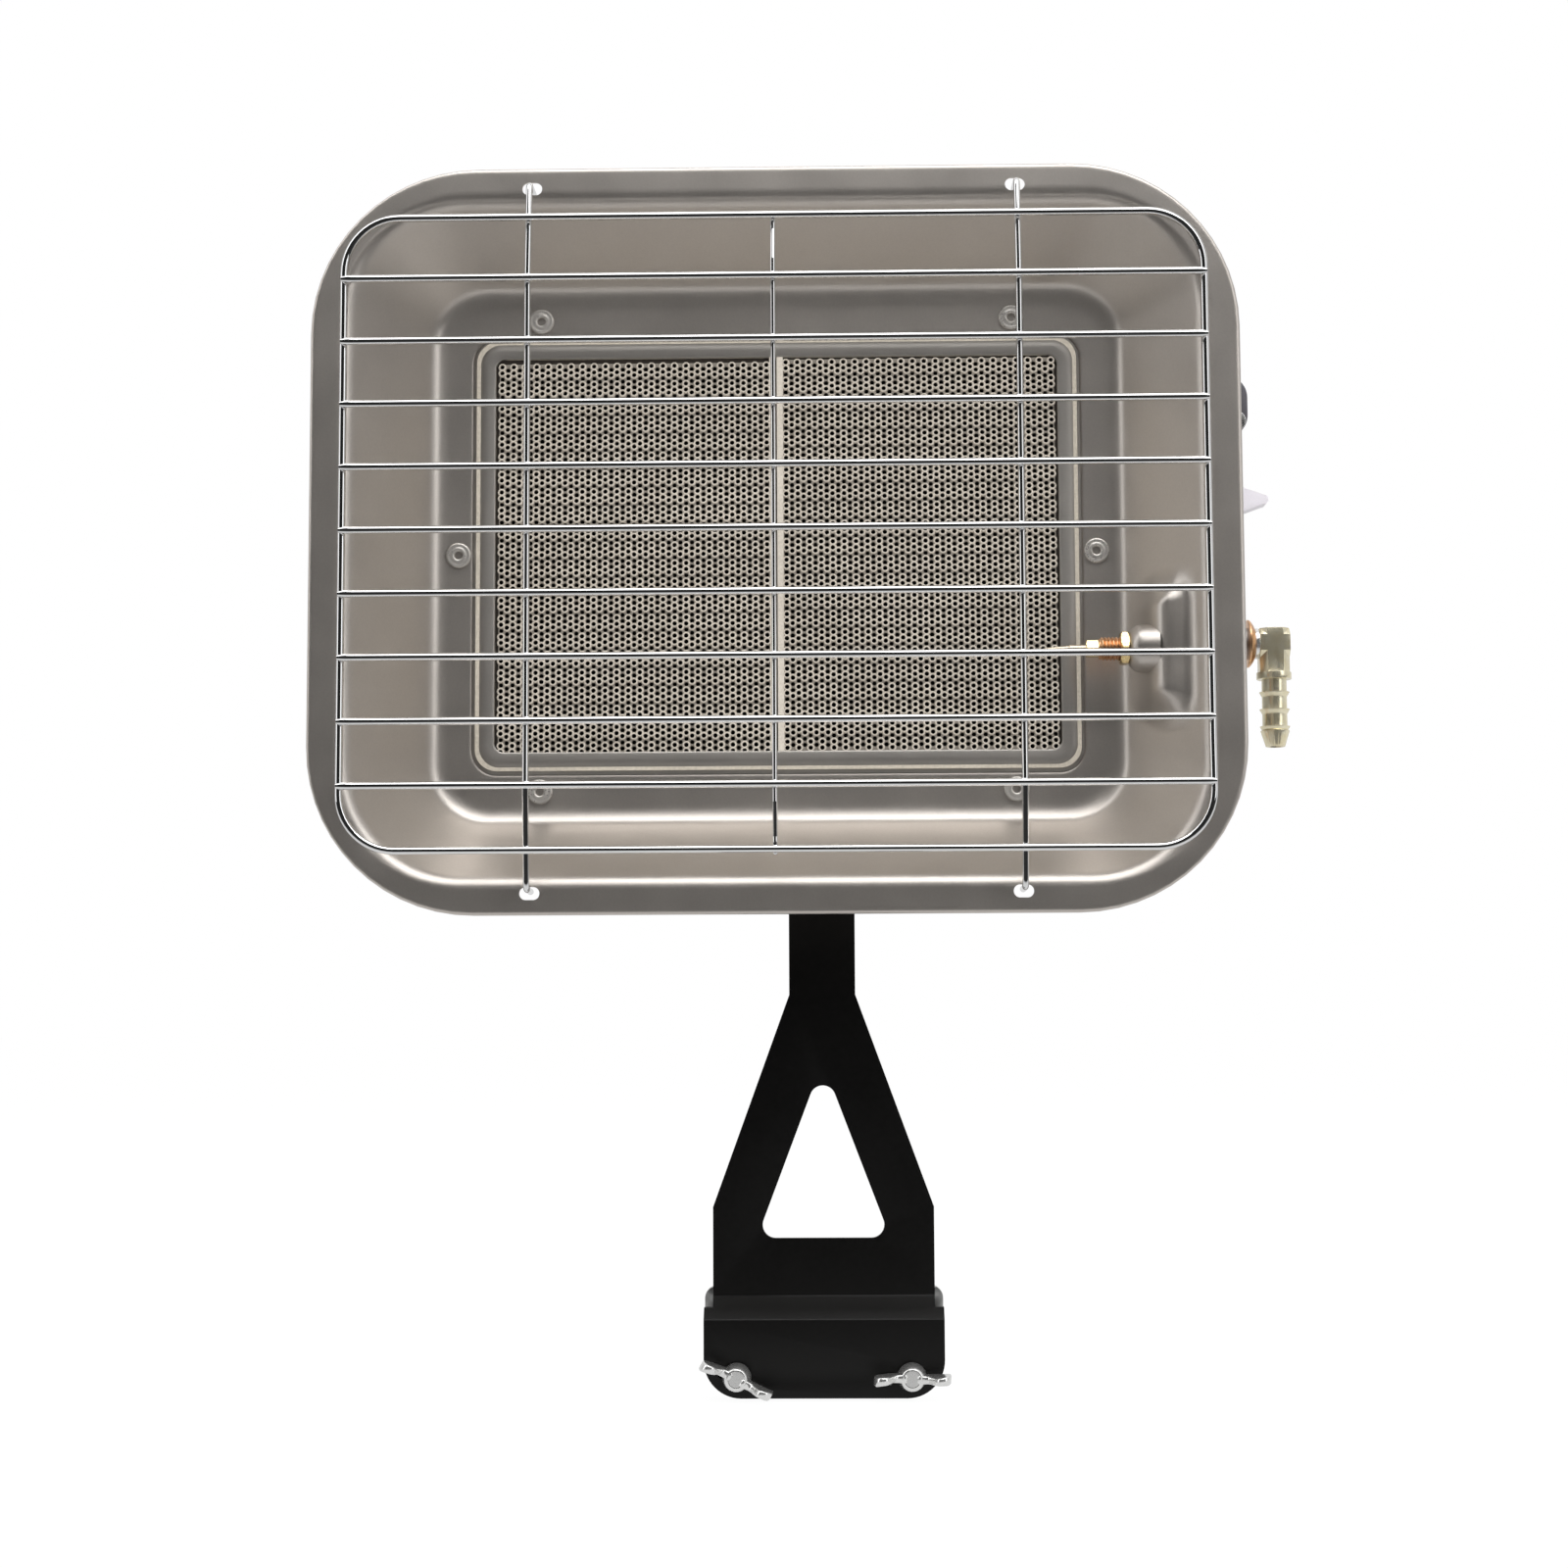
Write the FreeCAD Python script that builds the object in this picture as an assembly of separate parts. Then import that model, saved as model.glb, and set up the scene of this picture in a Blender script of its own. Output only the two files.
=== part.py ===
"""Cylinder-top infrared propane heater: a pressed reflector pan with two ceramic burner plaques and a
wire guard, tilting on a steel bracket whose two jaws grip the collar of a gas cylinder.

Millimetres. +X is the right side seen from the front, +Y points back, +Z is up. The origin is the middle
of the front jaw's rear face, where the cylinder's collar lies. The head is modelled about the middle of
the pan's rim and moved to HEAD when it is saved.
"""
import FreeCAD
import Part
import math
import os

V = FreeCAD.Vector

# Head place: middle of the pan's rim plane, from the clamp's origin
HEAD_X = -13.5
HEAD_Y = -54.0
HEAD_Z = 252.0

# Reflector pan
PAN_SHEET = 0.8
PAN_WIDTH = 288.0
PAN_HEIGHT = 233.0
PAN_CORNER = 52.0
FLANGE_SIDE = 11.5
FLANGE_END = 10.7
MOUTH_CORNER = 36.0
SKIRT_DEPTH = 4.0
WALL_DEPTH = 31.5
WALL_RUN_SIDE = 23.5
WALL_RUN_END = 21.0
FLOOR_CORNER = 18.0
SLOT_LENGTH = 6.2
SLOT_WIDTH = 4.0
SLOT_X = 75.0
SLOT_INSET = 6.8

# Raised pocket in the right wall that carries the thermocouple
POCKET_INSET = 31.5
POCKET_WIDTH = 18.5
POCKET_HEIGHT = 47.0
POCKET_FRONT = 6.5
PROBE_Y = 14.5
PROBE_Z = -34.0
BOSS_RADIUS = 7.5
BOSS_HEIGHT = 3.0

# Burner
FLOOR_BAND_SIDE = 11.75
FLOOR_BAND_END = 14.3
BEAD_CORNER = 8.0
BEAD_RISE = 1.8
BEAD_CLEARANCE = 0.5
FRAME_SHEET = 0.8
WINDOW_INSET_SIDE = 7.25
WINDOW_INSET_END = 7.0
WINDOW_CORNER = 2.5
RIVET_FROM_SIDE = 21.75
RIVET_BEYOND_END = 5.5
RIVET_BEYOND_SIDE = 4.55
RIVET_RADIUS = 2.4
RIVET_HEAD = 4.0
RIVET_HEAD_THICK = 1.3
RIVET_TAIL = 3.2
RIVET_TAIL_LENGTH = 3.5
RIVET_EDGE = 6.0
HOLE_CLEARANCE = 0.2
GASKET = 1.3
PLAQUE_COVER_SIDE = 2.0
PLAQUE_COVER_END = 5.0
PLAQUE_DEPTH = 13.0
PLAQUE_PAD = 1.9
PLAQUE_JOINT = 0.4
PLAQUE_MARGIN = 2.6
PLAQUE_SLACK = 0.6
BOX_SHEET = 0.8
BOX_LEDGE = 4.0
CHAMBER_DEPTH = 29.0
BOX_CORNER = 5.0
SEAT_CORNER = 1.4
SCREEN_SHEET = 0.8
SCREEN_SLOTS = 7
SCREEN_SLOT_WIDTH = 6.0
MIXER_RADIUS = 10.0
MIXER_SHEET = 0.9
MIXER_END_X = -50.0
MIXER_JET_GAP = 9.0
MIXER_BELL_RADIUS = 14.0
MIXER_BELL_LENGTH = 8.0
MIXER_BACK_GAP = 4.0

# Wire guard
GUARD_INSET_SIDE = 12.7
GUARD_INSET_END = 19.3
GUARD_CORNER = 17.0
GUARD_STAND_OFF = 11.0
GUARD_WIRE = 1.15
LEG_WIRE = 1.0
STAY_WIRE = 0.8
ROD_COUNT = 9
LEG_BEHIND_PAN = 3.4
STAY_TUCK = 14.0
WELD = 0.15

# Thermocouple
PROBE_THREAD = 3.7
PROBE_THREAD_REACH = 9.5
PROBE_HEX = 5.0
PROBE_HEX_LENGTH = 4.0
PROBE_ROD = 1.3
PROBE_ROD_LENGTH = 5.0
PROBE_TIP_LENGTH = 8.0
PROBE_TAIL = 8.5
NUT_FLATS = 9.6
NUT_THICK = 2.8
LEAD_RADIUS = 1.2
LEAD_RUN = 9.0
LEAD_BACK = 20.0
LEAD_FALL = 14.0
LEAD_DROP = 20.0
LEAD_BEND = 5.0
LEAD_NUT_FLATS = 8.0
LEAD_NUT_LENGTH = 9.0

# Valve at the back, right side
VALVE_INSET = 11.0
VALVE_WIDTH = 26.0
VALVE_DEPTH = 26.0
VALVE_BOTTOM = -46.0
VALVE_TOP = 38.0
VALVE_PLATE = 1.5
VALVE_PLATE_BACK = 39.5
VALVE_PLATE_TOP = 58.0
VALVE_PLATE_BOTTOM = -50.0
VALVE_LUG_REACH = 18.8
VALVE_LUG_BOTTOM = 38.0
LUG_SCREW_RADIUS = 1.6
INLET_Z = -27.3
STUB_RADIUS = 5.2
STUB_LENGTH = 6.2
INLET_THREAD = 6.0
WASHER_RADIUS = 7.8
WASHER_THICK = 2.3
RING_RADIUS = 5.0
RING_THICK = 1.6
ELBOW_SIZE = 9.6
ELBOW_CHAMFER = 2.2
ELBOW_TOP = -22.6
BARB_END_Z = -61.0
BARB_CORE = 4.0
BARB_RIDGE = 4.9
BARB_COLLAR = 5.6
BARB_TIP = 3.1
BARB_BORE = 2.4
BARB_PITCH = 5.6
BARB_CONE = 5.2
JET_RADIUS = 4.0
JET_LENGTH = 7.0
JET_TIP_RADIUS = 2.0
JET_TIP_LENGTH = 5.0
JET_BORE = 0.5

# Controls on the valve's back
KNOB_Z = 24.0
SPINDLE_RADIUS = 3.0
SPINDLE_LENGTH = 13.0
SPINDLE_DEPTH = 10.0
SPINDLE_NUT_FLATS = 13.0
SPINDLE_NUT_LENGTH = 4.0
KNOB_RADIUS = 13.0
KNOB_LENGTH = 13.0
KNOB_REACH = 30.5
KNOB_LEVER_THICK = 7.0
KNOB_LEVER_WIDTH = 15.0
KNOB_GAP = 0.6
BUTTON_RADIUS = 6.0
BUTTON_HEAD = 4.0
BUTTON_TRAVEL = 4.0
STEM_RADIUS = 2.5
STEM_LENGTH = 16.0
COLLAR_RADIUS = 8.5
COLLAR_LENGTH = 8.0
SPRING_RADIUS = 4.6
SPRING_LENGTH = 7.0
RUNNING = 0.05

# Tilt joint between the head and the bracket
PIVOT_Y = 74.0
PIVOT_Z = -95.0
EAR_RADIUS = 10.0
EAR_SHEET = 2.5
EAR_GAP = 0.3
TILT_BOLT_RADIUS = 3.0
TILT_HEAD_RADIUS = 6.5
TILT_HEAD_THICK = 3.2
TILT_WASHER_RADIUS = 7.0
TILT_WASHER_THICK = 1.0
HEAD_PLATE = 2.0
HEAD_PLATE_WIDTH = 32.0
HEAD_PLATE_TOP = -24.0
HEAD_PLATE_BOTTOM = -60.0
HEAD_SCREW_RADIUS = 2.0
HEAD_SCREW_HEAD = 3.8

# Bracket, in the clamp's own frame
SHEET = 2.5
NECK_WIDTH = 21.4
NECK_TOP = 168.0
FLARE_TOP = 111.7
FLARE_BOTTOM = 43.6
BODY_WIDTH = 71.2
SHOULDER_Z = 12.0
JAW_WIDTH = 76.8
JAW_TOP = 8.4
JAW_BOTTOM = -16.2
JAW_CORNER = 12.0
JOGGLE_HEIGHT = 7.1
POCKET_DEPTH = 6.8
BRACKET_WINDOW_TOP = 90.0
BRACKET_WINDOW_BOTTOM = 33.6
BRACKET_WINDOW_WIDTH = 43.0
BRACKET_WINDOW_CORNER = 4.2
EAR_LOW = 123.0
EAR_TAPER = 12.0
REAR_JAW_TOP = 18.3
REAR_JAW_CORNER = 4.0
CLAMP_BOLT_X = 27.8
CLAMP_BOLT_Z = -9.4
CLAMP_BOLT_RADIUS = 2.5
CLAMP_BOLT_HOLE = 2.9
CLAMP_HEAD_RADIUS = 5.6
CLAMP_HEAD_THICK = 2.8
SEAT_GAP = 0.3

# Wing nuts
CLAMP_HUB_RADIUS = 4.6
CLAMP_HUB_HEIGHT = 7.0
CLAMP_WING_SPAN = 24.0
CLAMP_WING_HEIGHT = 12.0
TILT_HUB_RADIUS = 5.4
TILT_HUB_HEIGHT = 8.0
TILT_WING_SPAN = 28.0
TILT_WING_HEIGHT = 14.0
WING_THICK = 2.2
LEFT_NUT_TURN = 30.0
RIGHT_NUT_TURN = 5.0

HEAD = V(HEAD_X, HEAD_Y, HEAD_Z)
NECK_LEFT = -NECK_WIDTH / 2
PIVOT = V(0, HEAD_Y + PIVOT_Y, HEAD_Z + PIVOT_Z)
FLOOR_BACK = WALL_DEPTH + PAN_SHEET
FLOOR_WIDTH = PAN_WIDTH - 2 * (FLANGE_SIDE + WALL_RUN_SIDE)
FLOOR_HEIGHT = PAN_HEIGHT - 2 * (FLANGE_END + WALL_RUN_END)
BEAD_WIDTH = FLOOR_WIDTH - 2 * FLOOR_BAND_SIDE
BEAD_HEIGHT = FLOOR_HEIGHT - 2 * FLOOR_BAND_END
WINDOW_WIDTH = BEAD_WIDTH - 2 * WINDOW_INSET_SIDE
WINDOW_HEIGHT = BEAD_HEIGHT - 2 * WINDOW_INSET_END
RIVET_X = BEAD_WIDTH / 2 - RIVET_FROM_SIDE
RIVET_Z = BEAD_HEIGHT / 2 + RIVET_BEYOND_END
RIVET_SIDE_X = BEAD_WIDTH / 2 + RIVET_BEYOND_SIDE
PLAQUE_WIDTH = WINDOW_WIDTH / 2 + PLAQUE_COVER_SIDE
PLAQUE_HEIGHT = WINDOW_HEIGHT + PLAQUE_COVER_END
POCKET_X = PAN_WIDTH / 2 - POCKET_INSET
GUARD_WIDTH = PAN_WIDTH - 2 * GUARD_INSET_SIDE
GUARD_HEIGHT = PAN_HEIGHT - 2 * GUARD_INSET_END
VALVE_X = PAN_WIDTH / 2 - VALVE_INSET
FRAME_BACK = FLOOR_BACK + FRAME_SHEET
BOX_FLANGE_BACK = FRAME_BACK + BOX_SHEET
LIP_FRONT = WALL_DEPTH - BEAD_RISE
LIP_BACK = LIP_FRONT + FRAME_SHEET
PLAQUE_FRONT = LIP_BACK + GASKET
PLAQUE_BACK = PLAQUE_FRONT + PLAQUE_DEPTH
SEAT_WIDTH = 2 * PLAQUE_WIDTH + PLAQUE_JOINT + 2 * PLAQUE_SLACK
SEAT_HEIGHT = PLAQUE_HEIGHT + 2 * PLAQUE_SLACK
CHAMBER_WIDTH = SEAT_WIDTH - 2 * BOX_LEDGE
CHAMBER_HEIGHT = SEAT_HEIGHT - 2 * BOX_LEDGE
CHAMBER_BACK = PLAQUE_BACK + CHAMBER_DEPTH
BOX_BACK = CHAMBER_BACK + BOX_SHEET
MIXER_Y = CHAMBER_BACK - MIXER_BACK_GAP - MIXER_RADIUS
VALVE_FRONT = VALVE_PLATE_BACK
VALVE_BACK = VALVE_FRONT + VALVE_DEPTH
VALVE_LEFT = VALVE_X - VALVE_WIDTH / 2
VALVE_RIGHT = VALVE_X + VALVE_WIDTH / 2
VALVE_LUG_X = VALVE_X + VALVE_LUG_REACH
STUB_END_X = VALVE_RIGHT + STUB_LENGTH
MIXER_MOUTH_X = VALVE_LEFT - MIXER_JET_GAP
INLET_Y = VALVE_FRONT + VALVE_DEPTH / 2
EAR_LEFT = NECK_LEFT - HEAD_X
HEAD_EAR_LEFT = EAR_LEFT + EAR_SHEET + EAR_GAP
HEAD_EAR_RIGHT = HEAD_EAR_LEFT + EAR_SHEET
PLATE_BACK = POCKET_DEPTH - SEAT_GAP
PLATE_FRONT = PLATE_BACK - SHEET
REAR_JAW_BACK = POCKET_DEPTH + SHEET


def box(x0, x1, y0, y1, z0, z1):
    return Part.makeBox(x1 - x0, y1 - y0, z1 - z0, V(x0, y0, z0))


def rod(start, direction, length, radius):
    return Part.makeCylinder(radius, length, V(*start), V(*direction))


def hexagon(start, direction, length, flats):
    """A hexagonal bar, its flats this far apart, along one of the three axes."""
    along = V(*direction)
    side = V(0, 0, 1) if abs(along.z) < 0.5 else V(1, 0, 0)
    other = along.cross(side)
    radius = flats / math.sqrt(3)
    corners = []
    for k in range(7):
        a = math.radians(60 * k)
        corners.append(V(*start) + side * (radius * math.cos(a)) + other * (radius * math.sin(a)))
    return Part.Face(Part.makePolygon(corners)).extrude(along * length)


def rounded(width, height, corner, y, cx=0.0, cz=0.0):
    """A rectangle with round corners in the plane at y, about (cx, cz)."""
    hw, hh, r = width / 2, height / 2, corner
    edges = []
    for sx, sz, start in ((1, 1, 0), (-1, 1, 90), (-1, -1, 180), (1, -1, 270)):
        mx, mz = cx + sx * (hw - r), cz + sz * (hh - r)
        points = []
        for turn in (0, 45, 90):
            a = math.radians(start + turn)
            points.append(V(mx + r * math.cos(a), y, mz + r * math.sin(a)))
        if edges and points[0].distanceToPoint(last) > 1e-6:
            edges.append(Part.makeLine(last, points[0]))
        if not edges:
            first = points[0]
        edges.append(Part.Arc(*points).toShape())
        last = points[2]
    if last.distanceToPoint(first) > 1e-6:
        edges.append(Part.makeLine(last, first))
    return Part.Wire(edges)


def slab(width, height, corner, y0, y1, cx=0.0, cz=0.0):
    return Part.Face(rounded(width, height, corner, y0, cx, cz)).extrude(V(0, y1 - y0, 0))


def funnel(front, back):
    """A solid between two rounded rectangles."""
    return Part.makeLoft([front, back], True, True)


def bent_rod(points, radius, bend):
    """A round bar along straight runs, with a tangent arc of this radius at each corner."""
    edges = []
    last = V(*points[0])
    for here, after in zip(points[1:-1], points[2:]):
        corner, after = V(*here), V(*after)
        into = (corner - last).normalize()
        out = (after - corner).normalize()
        turn = into.getAngle(out)
        cut = bend * math.tan(turn / 2)
        a, b = corner - into * cut, corner + out * cut
        middle = corner + (out - into).normalize() * (bend / math.cos(turn / 2) - bend)
        edges.append(Part.makeLine(last, a))
        edges.append(Part.Arc(a, middle, b).toShape())
        last = b
    edges.append(Part.makeLine(last, V(*points[-1])))
    path = Part.Wire(edges)
    start = V(*points[0])
    section = Part.Wire(Part.makeCircle(radius, start, V(*points[1]) - start))
    return path.makePipeShell([section], True, False)


def joined(shapes):
    return shapes[0].multiFuse(shapes[1:]).removeSplitter() if len(shapes) > 1 else shapes[0]


def save(node, shape, place=V(0, 0, 0)):
    shape = shape.copy()
    shape.translate(place)
    if not shape.isValid():
        print("not valid:", node)
    shape.exportStep(f"parts/{node}.step")


# Reflector pan

def mouth(y, grow=0.0):
    wide = PAN_WIDTH - 2 * FLANGE_SIDE + 2 * grow
    high = PAN_HEIGHT - 2 * FLANGE_END + 2 * grow
    return rounded(wide, high, MOUTH_CORNER + grow, y)


def floor_outline(y, grow=0.0):
    return rounded(FLOOR_WIDTH + 2 * grow, FLOOR_HEIGHT + 2 * grow, FLOOR_CORNER + grow, y)


def pocket(inset, y0, y1):
    """The raised pocket as a plain oval block, drawn in by an inset."""
    wide = POCKET_WIDTH - 2 * inset
    middle = POCKET_X + POCKET_WIDTH / 2
    corner = wide / 2 - 0.5
    return slab(wide, POCKET_HEIGHT - 2 * inset, corner, y0, y1, middle, PROBE_Z)


def reflector_pan():
    t = PAN_SHEET
    bowl_in = funnel(mouth(0), floor_outline(WALL_DEPTH))
    bowl_out = funnel(mouth(0, t), floor_outline(WALL_DEPTH, t))
    bottom = Part.Face(floor_outline(WALL_DEPTH, t)).extrude(V(0, t, 0))
    flange = slab(PAN_WIDTH, PAN_HEIGHT, PAN_CORNER, 0, t)
    skirt = slab(PAN_WIDTH, PAN_HEIGHT, PAN_CORNER, t, SKIRT_DEPTH)
    skirt = skirt.cut(slab(PAN_WIDTH - 2 * t, PAN_HEIGHT - 2 * t, PAN_CORNER - t, t, SKIRT_DEPTH))
    pan = joined([flange, skirt, bowl_out, bottom]).cut(bowl_in)
    wide, high = BEAD_WIDTH + 2 * BEAD_CLEARANCE, BEAD_HEIGHT + 2 * BEAD_CLEARANCE
    pan = pan.cut(slab(wide, high, BEAD_CORNER, WALL_DEPTH - 1, FLOOR_BACK + 1))
    outside = pocket(0, POCKET_FRONT, WALL_DEPTH).common(bowl_out)
    hollow = pocket(t, POCKET_FRONT + t, WALL_DEPTH + SKIRT_DEPTH)
    pan = joined([pan, outside]).cut(hollow)
    foot = V(POCKET_X, PROBE_Y, PROBE_Z)
    boss = Part.makeCone(BOSS_RADIUS, BOSS_RADIUS * 0.7, BOSS_HEIGHT, foot, V(-1, 0, 0))
    pan = joined([pan, boss])
    hole = PROBE_THREAD + HOLE_CLEARANCE
    pan = pan.cut(rod((POCKET_X - BOSS_HEIGHT - 1, PROBE_Y, PROBE_Z), (1, 0, 0), BOSS_HEIGHT + 4, hole))
    for x in (-SLOT_X, SLOT_X):
        for z in (-PAN_HEIGHT / 2 + SLOT_INSET, PAN_HEIGHT / 2 - SLOT_INSET):
            pan = pan.cut(slab(SLOT_LENGTH, SLOT_WIDTH, SLOT_WIDTH / 2 - 0.05, -1, t + 1, x, z))
    return pan.cut(rivet_holes())


def rivet_places():
    corners = [(sx * RIVET_X, sz * RIVET_Z) for sx in (-1, 1) for sz in (-1, 1)]
    return corners + [(-RIVET_SIDE_X, 0), (RIVET_SIDE_X, 0)]


def rivet_holes():
    hole = RIVET_RADIUS + HOLE_CLEARANCE
    return joined([rod((x, WALL_DEPTH - 1, z), (0, 1, 0), BOX_FLANGE_BACK - WALL_DEPTH + 2, hole)
                   for x, z in rivet_places()])


def burner_rivets():
    rivets = []
    for x, z in rivet_places():
        front = (x, WALL_DEPTH - RIVET_HEAD_THICK, z)
        head = rod(front, (0, 1, 0), RIVET_HEAD_THICK, RIVET_HEAD)
        hollow = rod(front, (0, 1, 0), RIVET_HEAD_THICK * 1.5, RIVET_RADIUS * 0.55)
        body = rod((x, WALL_DEPTH - 0.1, z), (0, 1, 0), BOX_FLANGE_BACK - WALL_DEPTH + 0.2, RIVET_RADIUS)
        tail = rod((x, BOX_FLANGE_BACK, z), (0, 1, 0), RIVET_TAIL_LENGTH, RIVET_TAIL)
        rivets.append(joined([head, body, tail]).cut(hollow))
    return Part.makeCompound(rivets)


# Burner

def flange_outline(y0, y1):
    wide = 2 * (RIVET_SIDE_X + RIVET_EDGE)
    high = 2 * (RIVET_Z + RIVET_EDGE)
    return slab(wide, high, FLOOR_CORNER, y0, y1)


def burner_frame():
    t = FRAME_SHEET
    flange = flange_outline(FLOOR_BACK, FRAME_BACK)
    bead = slab(BEAD_WIDTH, BEAD_HEIGHT, BEAD_CORNER, LIP_FRONT, FRAME_BACK)
    front = [e for e in bead.Edges if abs(e.BoundBox.YMax - LIP_FRONT) < 1e-6]
    bead = bead.makeFillet(BEAD_RISE * 0.8, front)
    inner = slab(BEAD_WIDTH - 2 * t, BEAD_HEIGHT - 2 * t, BEAD_CORNER - t, LIP_BACK, FRAME_BACK + 1)
    frame = joined([flange, bead]).cut(inner)
    window = slab(WINDOW_WIDTH, WINDOW_HEIGHT, WINDOW_CORNER, LIP_FRONT - 1, FRAME_BACK)
    return frame.cut(window).cut(rivet_holes())


def plaque_gasket():
    t = FRAME_SHEET + 0.3
    rim = slab(BEAD_WIDTH - 2 * t, BEAD_HEIGHT - 2 * t, BEAD_CORNER - t, LIP_BACK, PLAQUE_FRONT)
    return rim.cut(slab(WINDOW_WIDTH, WINDOW_HEIGHT, WINDOW_CORNER, LIP_BACK - 1, PLAQUE_FRONT + 1))


def plaque(side):
    middle = side * (PLAQUE_WIDTH + PLAQUE_JOINT) / 2
    block = slab(PLAQUE_WIDTH, PLAQUE_HEIGHT, 1.0, PLAQUE_FRONT, PLAQUE_BACK, middle)
    pad_wide = WINDOW_WIDTH / 2 - PLAQUE_JOINT / 2 - PLAQUE_MARGIN
    pad_middle = side * (PLAQUE_JOINT / 2 + PLAQUE_MARGIN + (pad_wide - PLAQUE_SLACK) / 2)
    pad_wide -= PLAQUE_SLACK
    pad_high = WINDOW_HEIGHT - 2 * PLAQUE_SLACK
    pad = slab(pad_wide, pad_high, 1.0, PLAQUE_FRONT - PLAQUE_PAD, PLAQUE_FRONT, pad_middle)
    return joined([block, pad])


def burner_box():
    t = BOX_SHEET
    flange = flange_outline(FRAME_BACK, BOX_FLANGE_BACK)
    seat = slab(SEAT_WIDTH + 2 * t, SEAT_HEIGHT + 2 * t, SEAT_CORNER + t, FRAME_BACK, PLAQUE_BACK + t)
    chamber = slab(CHAMBER_WIDTH + 2 * t, CHAMBER_HEIGHT + 2 * t, BOX_CORNER, PLAQUE_BACK, BOX_BACK)
    back = [e for e in chamber.Edges if abs(e.BoundBox.YMin - BOX_BACK) < 1e-6]
    chamber = chamber.makeFillet(2.5, back)
    seat_in = slab(SEAT_WIDTH, SEAT_HEIGHT, SEAT_CORNER, FRAME_BACK - 1, PLAQUE_BACK)
    chamber_in = slab(CHAMBER_WIDTH, CHAMBER_HEIGHT, BOX_CORNER - t, PLAQUE_BACK - 1, CHAMBER_BACK)
    shell = joined([flange, seat, chamber]).cut(seat_in).cut(chamber_in)
    shell = shell.cut(rod((CHAMBER_WIDTH / 2 - 5, MIXER_Y, 0), (1, 0, 0), 10, MIXER_RADIUS))
    for x in head_screw_places():
        shell = shell.cut(rod((x, CHAMBER_BACK - 1, head_screw_z()), (0, 1, 0), 4, HEAD_SCREW_RADIUS))
    return shell.cut(rivet_holes())


def distributor_screen():
    y = PLAQUE_BACK + (MIXER_Y - MIXER_RADIUS - PLAQUE_BACK) / 2
    wide = CHAMBER_WIDTH - 0.6
    screen = slab(wide, CHAMBER_HEIGHT - 0.6, BOX_CORNER - 1, y, y + SCREEN_SHEET)
    pitch = wide / (SCREEN_SLOTS + 1)
    for k in range(SCREEN_SLOTS):
        x = -wide / 2 + pitch * (k + 1)
        for side in (-1, 1):
            z = side * CHAMBER_HEIGHT / 4
            hole = slab(SCREEN_SLOT_WIDTH, CHAMBER_HEIGHT / 3, 2.9, y - 1, y + 2, x, z)
            screen = screen.cut(hole)
    return screen


def mixing_tube():
    length = MIXER_MOUTH_X - MIXER_BELL_LENGTH - MIXER_END_X
    start = (MIXER_END_X, MIXER_Y, 0)
    bell_x = MIXER_MOUTH_X - MIXER_BELL_LENGTH
    bell_at = V(bell_x, MIXER_Y, 0)
    inner = MIXER_RADIUS - MIXER_SHEET
    tube = rod(start, (1, 0, 0), length, MIXER_RADIUS)
    bell = Part.makeCone(MIXER_RADIUS, MIXER_BELL_RADIUS, MIXER_BELL_LENGTH, bell_at, V(1, 0, 0))
    bore = rod((MIXER_END_X - 1, MIXER_Y, 0), (1, 0, 0), length + 1, inner)
    flare = Part.makeCone(inner, MIXER_BELL_RADIUS - MIXER_SHEET, MIXER_BELL_LENGTH, bell_at, V(1, 0, 0))
    return joined([tube, bell]).cut(bore).cut(flare)


# Wire guard

def guard_y():
    return -GUARD_STAND_OFF


def guard_frame():
    ring = rounded(GUARD_WIDTH, GUARD_HEIGHT, GUARD_CORNER, guard_y())
    start = V(GUARD_WIDTH / 2, guard_y(), GUARD_HEIGHT / 2 - GUARD_CORNER)
    section = Part.Wire(Part.makeCircle(GUARD_WIRE, start, V(0, 0, 1)))
    return ring.makePipeShell([section], True, False)


def guard_rods():
    pitch = GUARD_HEIGHT / (ROD_COUNT + 1)
    y = guard_y() - 2 * GUARD_WIRE + WELD
    reach = GUARD_WIDTH / 2 + GUARD_WIRE * 0.8
    rods = []
    for k in range(ROD_COUNT):
        z = -GUARD_HEIGHT / 2 + pitch * (k + 1)
        rods.append(rod((-reach, y, z), (1, 0, 0), 2 * reach, GUARD_WIRE))
    return Part.makeCompound(rods)


def guard_legs():
    face = guard_y() - GUARD_WIRE + WELD + LEG_WIRE - 0.1
    behind = guard_y() + GUARD_WIRE + LEG_WIRE - WELD
    slot = PAN_HEIGHT / 2 - SLOT_INSET
    top = GUARD_HEIGHT / 2
    legs = []
    for x in (-SLOT_X, SLOT_X):
        half = [(x, face, top * 0.8), (x, behind, top - 1), (x, behind + 1.5, slot - 0.3),
                (x, LEG_BEHIND_PAN, slot)]
        lower = [(px, py, -pz) for px, py, pz in reversed(half)]
        legs.append(bent_rod(lower + half, LEG_WIRE, 2.6))
    return Part.makeCompound(legs)


def guard_stay():
    y = guard_y() + GUARD_WIRE + STAY_WIRE - WELD
    inner = guard_y() - GUARD_WIRE + WELD + STAY_WIRE - 0.1
    reach = GUARD_HEIGHT / 2
    tuck, bend = STAY_TUCK, 5 * STAY_WIRE
    points = [(0, y, -reach - 1), (0, y, -reach + bend), (0, inner, -reach + tuck),
              (0, inner, reach - tuck), (0, y, reach - bend), (0, y, reach + 1)]
    return bent_rod(points, STAY_WIRE, bend)


# Thermocouple and its lead

def probe_seat():
    return POCKET_X - BOSS_HEIGHT


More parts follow.
